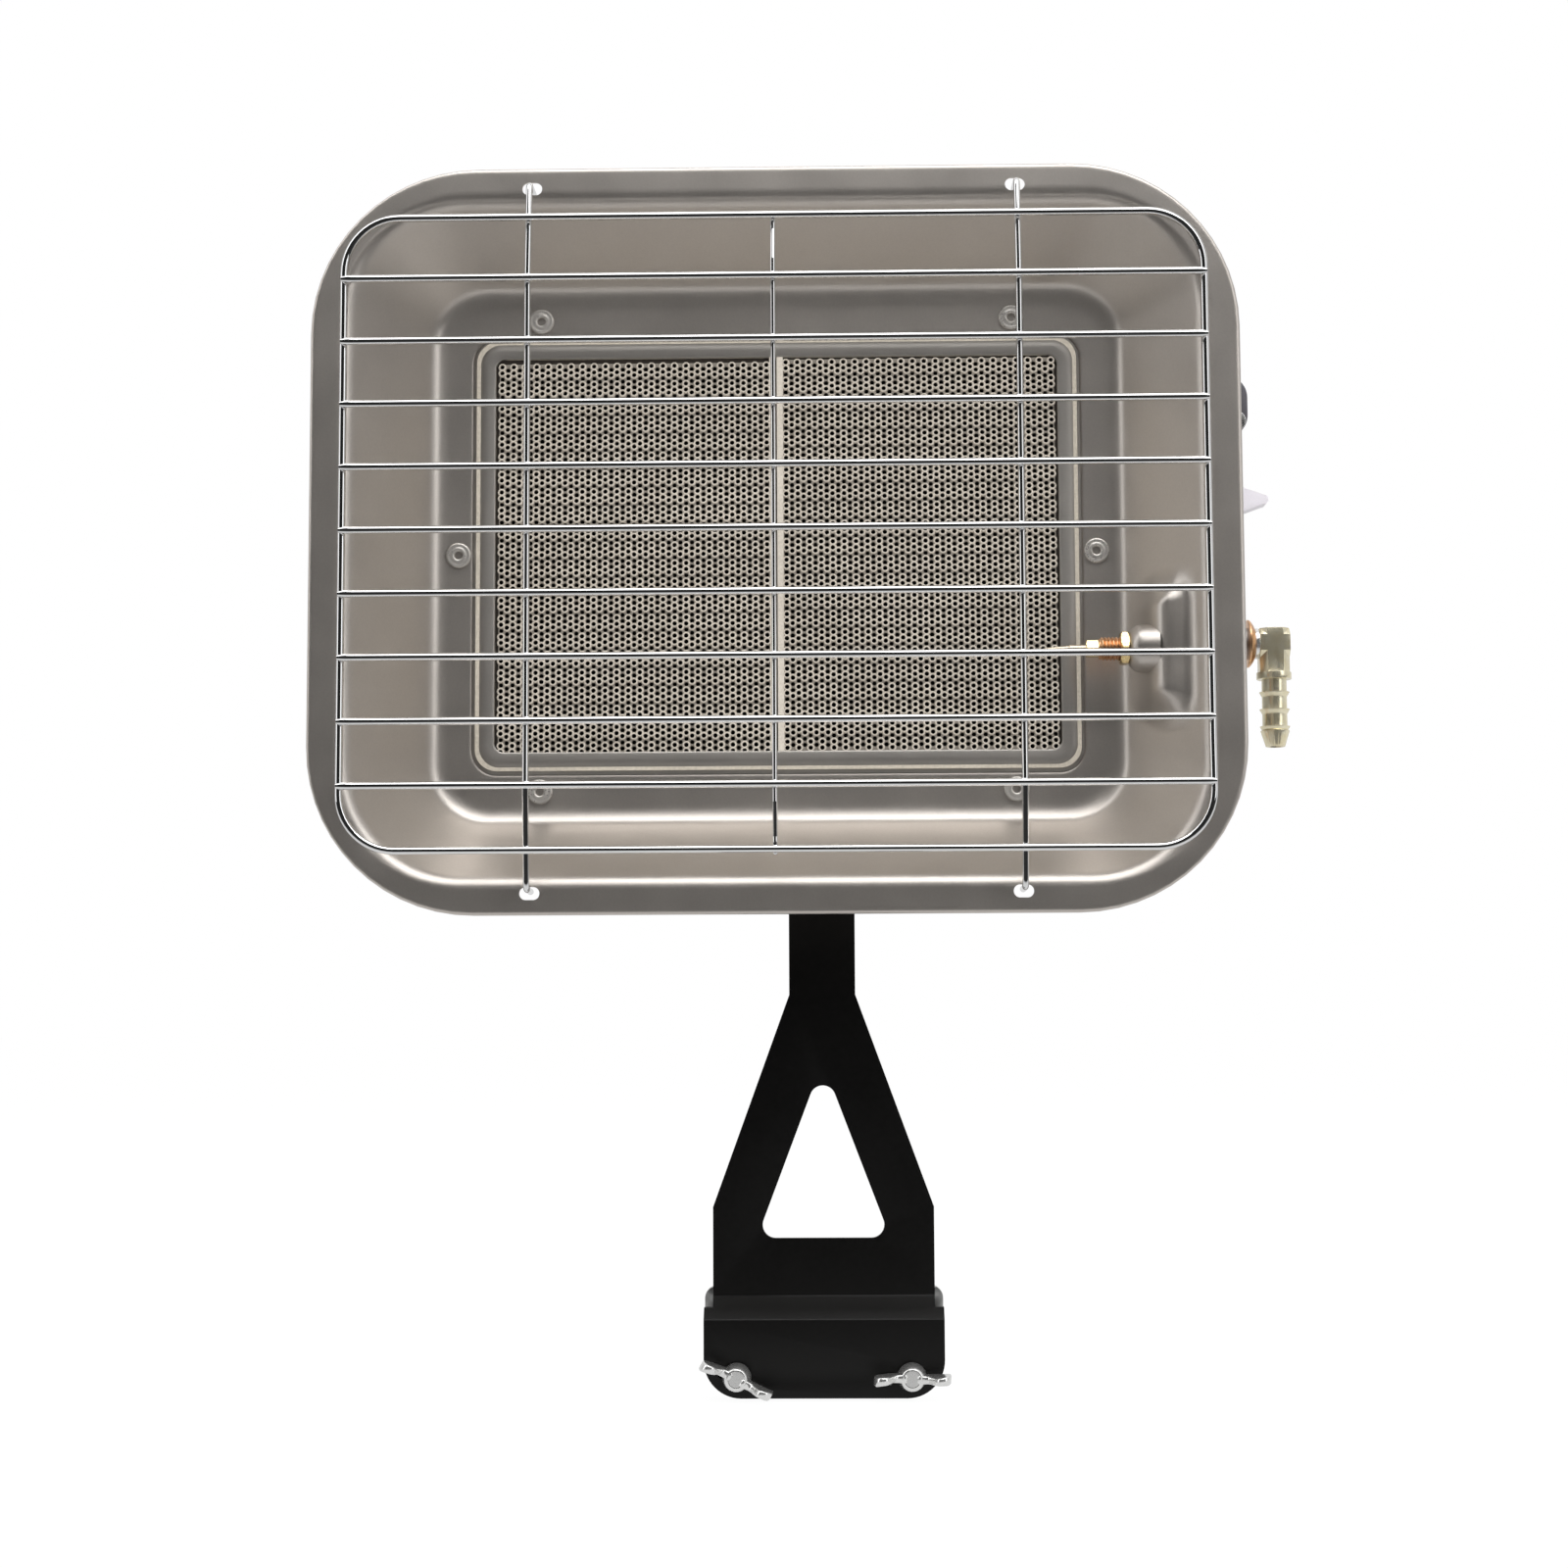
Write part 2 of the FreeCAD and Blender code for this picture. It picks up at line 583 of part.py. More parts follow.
def thermocouple():
    x = probe_seat() - PROBE_THREAD_REACH
    thread = rod((x, PROBE_Y, PROBE_Z), (1, 0, 0), POCKET_X + PROBE_TAIL - x, PROBE_THREAD)
    collar = hexagon((x - PROBE_HEX_LENGTH, PROBE_Y, PROBE_Z), (1, 0, 0), PROBE_HEX_LENGTH, PROBE_HEX)
    x -= PROBE_HEX_LENGTH
    stalk = rod((x - PROBE_ROD_LENGTH, PROBE_Y, PROBE_Z), (1, 0, 0), PROBE_ROD_LENGTH, PROBE_ROD)
    x -= PROBE_ROD_LENGTH
    tip = Part.makeCone(PROBE_ROD, PROBE_ROD * 0.3, PROBE_TIP_LENGTH, V(x, PROBE_Y, PROBE_Z), V(-1, 0, 0))
    return joined([thread, collar, stalk, tip])


def thermocouple_nut(x):
    nut = hexagon((x, PROBE_Y, PROBE_Z), (1, 0, 0), NUT_THICK, NUT_FLATS)
    return nut.cut(rod((x - 1, PROBE_Y, PROBE_Z), (1, 0, 0), NUT_THICK + 2, PROBE_THREAD))


def thermocouple_lead():
    start = (POCKET_X + PROBE_TAIL, PROBE_Y, PROBE_Z)
    low = VALVE_BOTTOM - LEAD_DROP
    turn_x = start[0] + LEAD_RUN
    end = VALVE_BOTTOM - LEAD_NUT_LENGTH
    points = [start, (turn_x, PROBE_Y, PROBE_Z), (turn_x + 1, PROBE_Y + LEAD_BACK, PROBE_Z - LEAD_FALL),
              (VALVE_X, INLET_Y - 8, low - 4), (VALVE_X, INLET_Y, low - 2), (VALVE_X, INLET_Y, end)]
    return bent_rod(points, LEAD_RADIUS, LEAD_BEND)


def lead_nut():
    low = (VALVE_X, INLET_Y, VALVE_BOTTOM - LEAD_NUT_LENGTH)
    return hexagon(low, (0, 0, 1), LEAD_NUT_LENGTH, LEAD_NUT_FLATS)


# Valve, inlet and injector

def valve_plate():
    inner = RIVET_SIDE_X - RIVET_EDGE
    edge = RIVET_SIDE_X + RIVET_EDGE + 2.0
    t = VALVE_PLATE
    low, high = VALVE_PLATE_BOTTOM, VALVE_PLATE_TOP
    foot = box(inner, edge + t, BOX_FLANGE_BACK, BOX_FLANGE_BACK + t, low, high)
    riser = box(edge, edge + t, BOX_FLANGE_BACK, VALVE_PLATE_BACK, low, high)
    face = box(edge, VALVE_RIGHT, VALVE_PLATE_BACK - t, VALVE_PLATE_BACK, low, high)
    span = VALVE_LUG_X - VALVE_X
    lug_high = high - VALVE_LUG_BOTTOM
    lug = slab(2 * span, lug_high, 7.0, VALVE_PLATE_BACK - t, VALVE_PLATE_BACK, VALVE_X, high - lug_high / 2)
    plate = joined([foot, riser, face, lug])
    clear = RIVET_TAIL + 1.0
    plate = plate.cut(rod((RIVET_SIDE_X, BOX_FLANGE_BACK - 1, 0), (0, 1, 0), 4, clear))
    x, z = lug_screw_place()
    return plate.cut(rod((x, VALVE_PLATE_BACK - 3, z), (0, 1, 0), 6, LUG_SCREW_RADIUS))


def lug_screw_place():
    return VALVE_LUG_X - 4.0, VALVE_LUG_BOTTOM + 5.0


def lug_screw():
    x, z = lug_screw_place()
    front = VALVE_PLATE_BACK - VALVE_PLATE
    head = rod((x, front - 1.6, z), (0, 1, 0), 1.6, LUG_SCREW_RADIUS * 2)
    return joined([head, rod((x, front - 0.1, z), (0, 1, 0), 6.0, LUG_SCREW_RADIUS - 0.1)])


def valve_body():
    body = slab(VALVE_WIDTH, VALVE_TOP - VALVE_BOTTOM, 4.0, VALVE_FRONT, VALVE_BACK,
                VALVE_X, (VALVE_TOP + VALVE_BOTTOM) / 2)
    back = [e for e in body.Edges if abs(e.BoundBox.YMin - VALVE_BACK) < 1e-6]
    body = body.makeFillet(1.5, back)
    stub = rod((VALVE_RIGHT - 1, INLET_Y, INLET_Z), (1, 0, 0), STUB_END_X - VALVE_RIGHT + 1, STUB_RADIUS)
    collar = rod((VALVE_X, VALVE_BACK - 1, INLET_Z), (0, 1, 0), COLLAR_LENGTH + 1, COLLAR_RADIUS)
    body = joined([body, stub, collar])
    thread_x = STUB_END_X - INLET_THREAD
    body = body.cut(rod((thread_x, INLET_Y, INLET_Z), (1, 0, 0), INLET_THREAD + 1, BARB_CORE))
    bore = BUTTON_RADIUS + RUNNING
    deep = BUTTON_HEAD + BUTTON_TRAVEL + SPRING_LENGTH
    mouth_y = VALVE_BACK + COLLAR_LENGTH
    body = body.cut(rod((VALVE_X, mouth_y - deep, INLET_Z), (0, 1, 0), deep + 1, bore))
    stem_bore = STEM_RADIUS + RUNNING
    body = body.cut(rod((VALVE_X, mouth_y - STEM_LENGTH - 6, INLET_Z), (0, 1, 0), STEM_LENGTH + 6, stem_bore))
    spindle_bore = SPINDLE_RADIUS + RUNNING
    deep_y = VALVE_BACK - SPINDLE_DEPTH - 1
    return body.cut(rod((VALVE_X, deep_y, KNOB_Z), (0, 1, 0), SPINDLE_DEPTH + 2, spindle_bore))


def injector_jet():
    holder = hexagon((VALVE_LEFT - JET_LENGTH, MIXER_Y, 0), (1, 0, 0), JET_LENGTH, 2 * JET_RADIUS)
    tip_x = VALVE_LEFT - JET_LENGTH
    tip = Part.makeCone(JET_RADIUS * 0.8, JET_TIP_RADIUS, JET_TIP_LENGTH, V(tip_x, MIXER_Y, 0), V(-1, 0, 0))
    bore = rod((tip_x - JET_TIP_LENGTH, MIXER_Y, 0), (1, 0, 0), JET_TIP_LENGTH + JET_LENGTH, JET_BORE)
    return joined([holder, tip]).cut(bore)


def inlet_washer():
    """A domed washer that closes on the inlet stub's end."""
    seat = V(STUB_END_X, INLET_Y, INLET_Z)
    dome = Part.makeCone(WASHER_RADIUS, RING_RADIUS + 0.4, WASHER_THICK, seat, V(1, 0, 0))
    return dome.cut(rod((STUB_END_X - 1, INLET_Y, INLET_Z), (1, 0, 0), WASHER_THICK + 2, BARB_CORE))


def inlet_ring():
    x = STUB_END_X + WASHER_THICK
    ring = rod((x, INLET_Y, INLET_Z), (1, 0, 0), RING_THICK, RING_RADIUS)
    return ring.cut(rod((x - 1, INLET_Y, INLET_Z), (1, 0, 0), RING_THICK + 2, BARB_CORE))


def octagon_bar(start, direction, length):
    """A square bar with its four long edges cut off."""
    half, cut = ELBOW_SIZE / 2, ELBOW_SIZE / 2 - ELBOW_CHAMFER
    outline = [(half, cut), (cut, half), (-cut, half), (-half, cut),
               (-half, -cut), (-cut, -half), (cut, -half), (half, -cut)]
    along = V(*direction)
    side = V(0, 1, 0)
    other = along.cross(side)
    corners = [V(*start) + side * a + other * b for a, b in outline + outline[:1]]
    return Part.Face(Part.makePolygon(corners)).extrude(along * length)


def barb_x():
    return STUB_END_X + WASHER_THICK + RING_THICK + ELBOW_SIZE / 2


def inlet_elbow():
    left = barb_x() - ELBOW_SIZE / 2
    x = barb_x()
    across = octagon_bar((left, INLET_Y, INLET_Z), (1, 0, 0), ELBOW_SIZE)
    collar_top = BARB_END_Z + BARB_CONE + 3 * BARB_PITCH + 2.2
    down = octagon_bar((x, INLET_Y, collar_top - 1), (0, 0, 1), INLET_Z - collar_top + 1 + ELBOW_SIZE / 2)
    thread_x = STUB_END_X - INLET_THREAD
    thread = rod((thread_x, INLET_Y, INLET_Z), (1, 0, 0), left - thread_x + 1, BARB_CORE - RUNNING)
    core_z = BARB_END_Z + BARB_CONE
    core = rod((x, INLET_Y, core_z), (0, 0, 1), collar_top - core_z, BARB_CORE)
    collar = rod((x, INLET_Y, collar_top - 2.2), (0, 0, 1), 2.2, BARB_COLLAR)
    pieces = [across, down, thread, core, collar]
    for k in range(3):
        z = BARB_END_Z + BARB_CONE + k * BARB_PITCH
        pieces.append(Part.makeCone(BARB_RIDGE - 0.9, BARB_RIDGE, 1.6, V(x, INLET_Y, z - 0.2)))
    pieces.append(Part.makeCone(BARB_TIP, BARB_RIDGE - 0.2, BARB_CONE, V(x, INLET_Y, BARB_END_Z)))
    bore = rod((x, INLET_Y, BARB_END_Z - 1), (0, 0, 1), INLET_Z - BARB_END_Z + 1, BARB_BORE)
    way = rod((thread_x - 1, INLET_Y, INLET_Z), (1, 0, 0), x - thread_x + 1, BARB_BORE)
    return joined(pieces).cut(bore).cut(way)


# Controls

def knob_front():
    return VALVE_BACK + SPINDLE_NUT_LENGTH + KNOB_GAP


def spindle():
    front = (VALVE_X, VALVE_BACK - SPINDLE_DEPTH, KNOB_Z)
    return rod(front, (0, 1, 0), SPINDLE_DEPTH + SPINDLE_LENGTH, SPINDLE_RADIUS)


def spindle_nut():
    nut = hexagon((VALVE_X, VALVE_BACK, KNOB_Z), (0, 1, 0), SPINDLE_NUT_LENGTH, SPINDLE_NUT_FLATS)
    bore = rod((VALVE_X, VALVE_BACK - 1, KNOB_Z), (0, 1, 0), SPINDLE_NUT_LENGTH + 2, SPINDLE_RADIUS + RUNNING)
    return nut.cut(bore)


def control_knob():
    """A round knob with one lever that narrows to a blunt point."""
    y = knob_front()
    hub = rod((VALVE_X, y, KNOB_Z), (0, 1, 0), KNOB_LENGTH, KNOB_RADIUS)
    half, tip = KNOB_LEVER_WIDTH / 2, VALVE_X + KNOB_REACH
    blunt = 1.6
    upper = [V(VALVE_X, y, KNOB_Z + half), V(VALVE_X + KNOB_REACH * 0.45, y, KNOB_Z + half * 0.95),
             V(tip - blunt, y, KNOB_Z + blunt)]
    lower = [V(p.x, y, 2 * KNOB_Z - p.z) for p in reversed(upper)]
    nose = Part.Arc(upper[-1], V(tip, y, KNOB_Z), lower[0]).toShape()
    sides = Part.makePolygon(upper).Edges + [nose] + Part.makePolygon(lower).Edges
    sides.append(Part.makeLine(lower[-1], upper[0]))
    lever = Part.Face(Part.Wire(sides)).extrude(V(0, KNOB_LEVER_THICK, 0))
    knob = joined([hub, lever])
    deep = VALVE_BACK + SPINDLE_LENGTH - y + 1
    return knob.cut(rod((VALVE_X, y - 1, KNOB_Z), (0, 1, 0), deep, SPINDLE_RADIUS))


def safety_button():
    back = VALVE_BACK + COLLAR_LENGTH + BUTTON_TRAVEL + 1.0
    front = VALVE_BACK + COLLAR_LENGTH - BUTTON_HEAD
    head = rod((VALVE_X, front, INLET_Z), (0, 1, 0), back - front, BUTTON_RADIUS)
    rim = [e for e in head.Edges if abs(e.BoundBox.YMin - back) < 1e-6]
    head = head.makeFillet(1.0, rim)
    stem_y = VALVE_BACK + COLLAR_LENGTH - STEM_LENGTH
    stem = rod((VALVE_X, stem_y, INLET_Z), (0, 1, 0), STEM_LENGTH - BUTTON_HEAD + 1, STEM_RADIUS)
    return joined([head, stem])


def button_spring():
    front = VALVE_BACK + COLLAR_LENGTH - BUTTON_HEAD
    length = BUTTON_TRAVEL + SPRING_LENGTH
    sleeve = rod((VALVE_X, front - length, INLET_Z), (0, 1, 0), length, SPRING_RADIUS)
    return sleeve.cut(rod((VALVE_X, front - length - 1, INLET_Z), (0, 1, 0), length + 2, SPRING_RADIUS - 0.8))


# Tilt joint

def head_screw_z():
    return (HEAD_PLATE_TOP + HEAD_PLATE_BOTTOM) / 2


def head_screw_places():
    return (HEAD_EAR_LEFT + HEAD_PLATE_WIDTH * 0.4, HEAD_EAR_LEFT + HEAD_PLATE_WIDTH * 0.8)


def head_bracket():
    """A plate on the burner box's back with one edge bent into an ear that hangs to the pivot."""
    left, right = HEAD_EAR_LEFT, HEAD_EAR_RIGHT
    plate = box(left, left + HEAD_PLATE_WIDTH, BOX_BACK, BOX_BACK + HEAD_PLATE,
                HEAD_PLATE_BOTTOM, HEAD_PLATE_TOP)
    r = EAR_RADIUS - 1.5
    outline = [V(left, BOX_BACK, HEAD_PLATE_TOP), V(left, BOX_BACK + 9, HEAD_PLATE_TOP),
               V(left, PIVOT_Y + r, PIVOT_Z), V(left, PIVOT_Y - r, PIVOT_Z),
               V(left, PIVOT_Y - r, PIVOT_Z + 6), V(left, BOX_BACK, -CHAMBER_HEIGHT / 2 - EAR_SHEET)]
    ear = Part.Face(Part.makePolygon(outline + outline[:1])).extrude(V(EAR_SHEET, 0, 0))
    end = rod((left, PIVOT_Y, PIVOT_Z), (1, 0, 0), EAR_SHEET, r)
    bracket = joined([plate, ear, end])
    bore = TILT_BOLT_RADIUS + RUNNING
    bracket = bracket.cut(rod((left - 1, PIVOT_Y, PIVOT_Z), (1, 0, 0), EAR_SHEET + 2, bore))
    for x in head_screw_places():
        hole = rod((x, BOX_BACK - 1, head_screw_z()), (0, 1, 0), HEAD_PLATE + 2, HEAD_SCREW_RADIUS)
        bracket = bracket.cut(hole)
    return bracket


def head_screws():
    screws = []
    for x in head_screw_places():
        deep = BOX_BACK - CHAMBER_BACK + HEAD_PLATE + 4.2
        body = rod((x, CHAMBER_BACK - 4, head_screw_z()), (0, 1, 0), deep, HEAD_SCREW_RADIUS - RUNNING)
        head = rod((x, BOX_BACK + HEAD_PLATE, head_screw_z()), (0, 1, 0), 2.2, HEAD_SCREW_HEAD)
        screws.append(joined([body, head]))
    return Part.makeCompound(screws)


def nut_seat_x():
    """Where the tilt nut's washer ends, left of the bracket's ear."""
    return NECK_LEFT - EAR_GAP - TILT_WASHER_THICK


def tilt_bolt():
    right = HEAD_X + HEAD_EAR_RIGHT + EAR_GAP
    left = nut_seat_x() - SEAT_GAP - TILT_HUB_HEIGHT - 1.0
    shank = rod((left, PIVOT.y, PIVOT.z), (1, 0, 0), right - left + 0.1, TILT_BOLT_RADIUS)
    head = Part.makeCylinder(TILT_HEAD_RADIUS, TILT_HEAD_THICK, V(right, PIVOT.y, PIVOT.z), V(1, 0, 0))
    rim = [e for e in head.Edges if abs(e.BoundBox.XMin - right - TILT_HEAD_THICK) < 1e-6]
    return joined([shank, head.makeFillet(TILT_HEAD_THICK * 0.6, rim)])


def tilt_washer():
    x = nut_seat_x()
    washer = rod((x, PIVOT.y, PIVOT.z), (1, 0, 0), TILT_WASHER_THICK, TILT_WASHER_RADIUS)
    return washer.cut(rod((x - 1, PIVOT.y, PIVOT.z), (1, 0, 0), TILT_WASHER_THICK + 2, TILT_BOLT_RADIUS))


def wing_nut(hub_radius, hub_height, bore, span, wing_height):
    """A wing nut that stands on its seat, its axis up and its wings along X."""
    hub = Part.makeCone(hub_radius, hub_radius * 0.8, hub_height, V(0, 0, 0), V(0, 0, 1))
    t = WING_THICK / 2
    pieces = [hub]
    for side in (-1, 1):
        root, mid, tip = side * hub_radius * 0.6, side * hub_radius, side * span / 2
        outline = [V(root, -t, hub_height * 0.15), V(mid, -t, hub_height * 0.15),
                   V(side * span * 0.44, -t, hub_height * 0.55), V(tip, -t, wing_height - 2.5),
                   V(side * span * 0.46, -t, wing_height), V(side * span * 0.36, -t, wing_height),
                   V(mid, -t, hub_height * 0.95), V(root, -t, hub_height * 0.95)]
        wing = Part.Face(Part.makePolygon(outline + outline[:1])).extrude(V(0, 2 * t, 0))
        pieces.append(wing)
    nut = joined(pieces)
    return nut.cut(Part.makeCylinder(bore + RUNNING, hub_height + 2, V(0, 0, -1), V(0, 0, 1)))


def tilt_wing_nut():
    nut = wing_nut(TILT_HUB_RADIUS, TILT_HUB_HEIGHT, TILT_BOLT_RADIUS, TILT_WING_SPAN, TILT_WING_HEIGHT)
    nut.rotate(V(0, 0, 0), V(0, 0, 1), 90)
    nut.rotate(V(0, 0, 0), V(0, 1, 0), -90)
    nut.translate(V(nut_seat_x() - SEAT_GAP, PIVOT.y, PIVOT.z))
    return nut


def clamp_wing_nut(x, turn):
    nut = wing_nut(CLAMP_HUB_RADIUS, CLAMP_HUB_HEIGHT, CLAMP_BOLT_RADIUS, CLAMP_WING_SPAN, CLAMP_WING_HEIGHT)
    nut.rotate(V(0, 0, 0), V(1, 0, 0), 90)
    nut.rotate(V(0, 0, 0), V(0, 1, 0), turn)
    nut.translate(V(x, -SHEET - SEAT_GAP, CLAMP_BOLT_Z))
    return nut


# Bracket and clamp

def plate_outline(y):
    """The bracket's upper plate: neck, flare and straight body, down to the joggle."""
    half, wide = NECK_WIDTH / 2, BODY_WIDTH / 2
    low = JAW_TOP + JOGGLE_HEIGHT
    right = [V(half, y, NECK_TOP), V(half, y, FLARE_TOP), V(wide, y, FLARE_BOTTOM), V(wide, y, low)]
    left = [V(-p.x, y, p.z) for p in reversed(right)]
    return Part.Face(Part.makePolygon(right + left + right[:1]))


def bracket_window():
    """A triangle with round corners, cut through the flare."""
    half, r = BRACKET_WINDOW_WIDTH / 2, BRACKET_WINDOW_CORNER
    top, low = BRACKET_WINDOW_TOP, BRACKET_WINDOW_BOTTOM
    y = PLATE_FRONT - 1
    corners = [V(-half, y, low), V(half, y, low), V(0, y, top)]
    block = Part.Face(Part.makePolygon(corners + corners[:1])).extrude(V(0, SHEET + 2, 0))
    upright = [e for e in block.Edges if e.BoundBox.YLength > 1]
    return block.makeFillet(r, upright)


def joggle_profile():
    """Side outline of the sheet from the plate to the front jaw, wide enough for the shoulders."""
    high, low = JAW_TOP + JOGGLE_HEIGHT, JAW_TOP
    points = [V(0, PLATE_FRONT, high), V(0, PLATE_BACK, high), V(0, 0, low), V(0, -SHEET, low)]
    return Part.Face(Part.makePolygon(points + points[:1]))


def mounting_bracket():
    plate = plate_outline(PLATE_FRONT).extrude(V(0, SHEET, 0)).cut(bracket_window())
    joggle = joggle_profile().extrude(V(JAW_WIDTH, 0, 0))
    joggle.translate(V(-JAW_WIDTH / 2, 0, 0))
    step = (JAW_WIDTH - BODY_WIDTH) / 2
    for side in (-1, 1):
        x = side * JAW_WIDTH / 2
        a, b = sorted((x, x - side * step))
        joggle = joggle.cut(box(a, b, -SHEET - 1, PLATE_BACK + 1, SHOULDER_Z, NECK_TOP))
    half = JAW_WIDTH / 2
    jaw = box(-half, half, -SHEET, 0, JAW_BOTTOM, JAW_TOP)
    lower = [e for e in jaw.Edges if e.BoundBox.YLength > 1 and e.BoundBox.ZMax < 0]
    jaw = jaw.makeFillet(JAW_CORNER, lower)
    bracket = joined([plate, joggle, jaw, bracket_ear()])
    for x in (-CLAMP_BOLT_X, CLAMP_BOLT_X):
        bracket = bracket.cut(rod((x, -SHEET - 1, CLAMP_BOLT_Z), (0, 1, 0), SHEET + 2, CLAMP_BOLT_HOLE))
    return bracket


def bracket_ear():
    """The neck's left edge bent back, with a slanted lower end, round about the pivot."""
    x = NECK_LEFT
    back = PIVOT.y + EAR_RADIUS
    outline = [V(x, PLATE_FRONT, NECK_TOP), V(x, PIVOT.y, NECK_TOP), V(x, back, PIVOT.z),
               V(x, back, EAR_LOW + EAR_TAPER + 6), V(x, PLATE_BACK, EAR_LOW), V(x, PLATE_FRONT, EAR_LOW)]
    ear = Part.Face(Part.makePolygon(outline + outline[:1])).extrude(V(EAR_SHEET, 0, 0))
    ear = joined([ear, rod((x, PIVOT.y, PIVOT.z), (1, 0, 0), EAR_SHEET, EAR_RADIUS)])
    return ear.cut(rod((x - 1, PIVOT.y, PIVOT.z), (1, 0, 0), EAR_SHEET + 2, TILT_BOLT_RADIUS))


def rear_jaw():
    half = JAW_WIDTH / 2
    jaw = box(-half, half, POCKET_DEPTH, REAR_JAW_BACK, JAW_BOTTOM, REAR_JAW_TOP)
    for edge_z, radius in ((REAR_JAW_TOP, REAR_JAW_CORNER), (JAW_BOTTOM, JAW_CORNER)):
        at_z = [e for e in jaw.Edges if abs(e.BoundBox.ZMax - edge_z) < 1e-6]
        through = [e for e in at_z if e.BoundBox.YLength > 1 and e.BoundBox.ZLength < 1e-6]
        jaw = jaw.makeFillet(radius, through)
    for x in (-CLAMP_BOLT_X, CLAMP_BOLT_X):
        r = CLAMP_BOLT_RADIUS
        neck = box(x - r, x + r, POCKET_DEPTH - 1, REAR_JAW_BACK + 1, CLAMP_BOLT_Z - r, CLAMP_BOLT_Z + r)
        jaw = jaw.cut(neck)
    return jaw


def clamp_bolts():
    """Two carriage bolts whose square necks sit in the rear jaw."""
    end = -SHEET - SEAT_GAP - CLAMP_HUB_HEIGHT + 0.4
    r = CLAMP_BOLT_RADIUS
    bolts = []
    for x in (-CLAMP_BOLT_X, CLAMP_BOLT_X):
        shank = rod((x, end, CLAMP_BOLT_Z), (0, 1, 0), REAR_JAW_BACK - end, r)
        neck = box(x - r, x + r, POCKET_DEPTH, REAR_JAW_BACK, CLAMP_BOLT_Z - r, CLAMP_BOLT_Z + r)
        head = rod((x, REAR_JAW_BACK, CLAMP_BOLT_Z), (0, 1, 0), CLAMP_HEAD_THICK, CLAMP_HEAD_RADIUS)
        rim = [e for e in head.Edges if abs(e.BoundBox.YMin - REAR_JAW_BACK - CLAMP_HEAD_THICK) < 1e-6]
        bolts.append(joined([shank, neck, head.makeFillet(CLAMP_HEAD_THICK * 0.7, rim)]))
    return Part.makeCompound(bolts)


def build():
    save("mounting_bracket", mounting_bracket())
    save("tilt_bolt", tilt_bolt())
    save("tilt_washer", tilt_washer())
    save("tilt_wing_nut", tilt_wing_nut())
    save("rear_jaw", rear_jaw())
    save("clamp_bolts", clamp_bolts())
    save("clamp_nut_left", clamp_wing_nut(-CLAMP_BOLT_X, LEFT_NUT_TURN))
    save("clamp_nut_right", clamp_wing_nut(CLAMP_BOLT_X, RIGHT_NUT_TURN))
    save("reflector_pan", reflector_pan(), HEAD)
    save("burner_frame", burner_frame(), HEAD)
    save("plaque_gasket", plaque_gasket(), HEAD)
    save("plaque_left", plaque(-1), HEAD)
    save("plaque_right", plaque(1), HEAD)
    save("burner_box", burner_box(), HEAD)
    save("distributor_screen", distributor_screen(), HEAD)
    save("mixing_tube", mixing_tube(), HEAD)
    save("burner_rivets", burner_rivets(), HEAD)
    save("guard_frame", guard_frame(), HEAD)
    save("guard_rods", guard_rods(), HEAD)
    save("guard_legs", guard_legs(), HEAD)
    save("guard_stay", guard_stay(), HEAD)
    save("thermocouple", thermocouple(), HEAD)
    save("thermocouple_nut_front", thermocouple_nut(probe_seat() - NUT_THICK), HEAD)
    save("thermocouple_nut_rear", thermocouple_nut(POCKET_X + PAN_SHEET), HEAD)
    save("thermocouple_lead", thermocouple_lead(), HEAD)
    save("lead_nut", lead_nut(), HEAD)
    save("valve_plate", valve_plate(), HEAD)
    save("lug_screw", lug_screw(), HEAD)
    save("valve_body", valve_body(), HEAD)
    save("injector_jet", injector_jet(), HEAD)
    save("inlet_washer", inlet_washer(), HEAD)
    save("inlet_ring", inlet_ring(), HEAD)
    save("inlet_elbow", inlet_elbow(), HEAD)
    save("spindle", spindle(), HEAD)
    save("spindle_nut", spindle_nut(), HEAD)
    save("control_knob", control_knob(), HEAD)
    save("safety_button", safety_button(), HEAD)
    save("button_spring", button_spring(), HEAD)
    save("head_bracket", head_bracket(), HEAD)
    save("head_screws", head_screws(), HEAD)


os.makedirs("parts", exist_ok=True)
build()
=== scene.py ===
import bpy
import bmesh
import math
from mathutils import Matrix, Vector


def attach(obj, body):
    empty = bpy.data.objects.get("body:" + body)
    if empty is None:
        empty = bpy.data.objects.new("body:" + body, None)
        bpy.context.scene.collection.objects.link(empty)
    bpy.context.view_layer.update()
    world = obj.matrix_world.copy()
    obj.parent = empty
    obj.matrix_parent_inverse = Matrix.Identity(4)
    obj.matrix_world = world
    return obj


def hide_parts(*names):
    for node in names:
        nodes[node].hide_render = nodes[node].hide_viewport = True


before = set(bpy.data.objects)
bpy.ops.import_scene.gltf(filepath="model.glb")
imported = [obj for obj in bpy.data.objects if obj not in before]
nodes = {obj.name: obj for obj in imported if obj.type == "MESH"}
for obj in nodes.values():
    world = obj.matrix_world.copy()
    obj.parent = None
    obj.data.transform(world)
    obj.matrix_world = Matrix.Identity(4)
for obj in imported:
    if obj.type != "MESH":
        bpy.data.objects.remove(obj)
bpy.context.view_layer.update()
MM = 0.001
# All sizes are in millimetres, and the head's are from the middle of its flange's front face.
HEAD = Vector((-13.5, -54.0, 252.0))


# Camera: a 58.5 mm lens on a 36 mm frame. It stands low, a little right of the middle, and looks
# slightly up at the pan, so that the lower wall shows more than the upper one.
LENS, FILM = 58.5, 36.0
PITCH, YAW, ROLL = math.radians(-5.134), math.radians(-1.087), math.radians(-0.265)
HEAD_SEEN = Vector((-2.887, 782.027, 76.474))


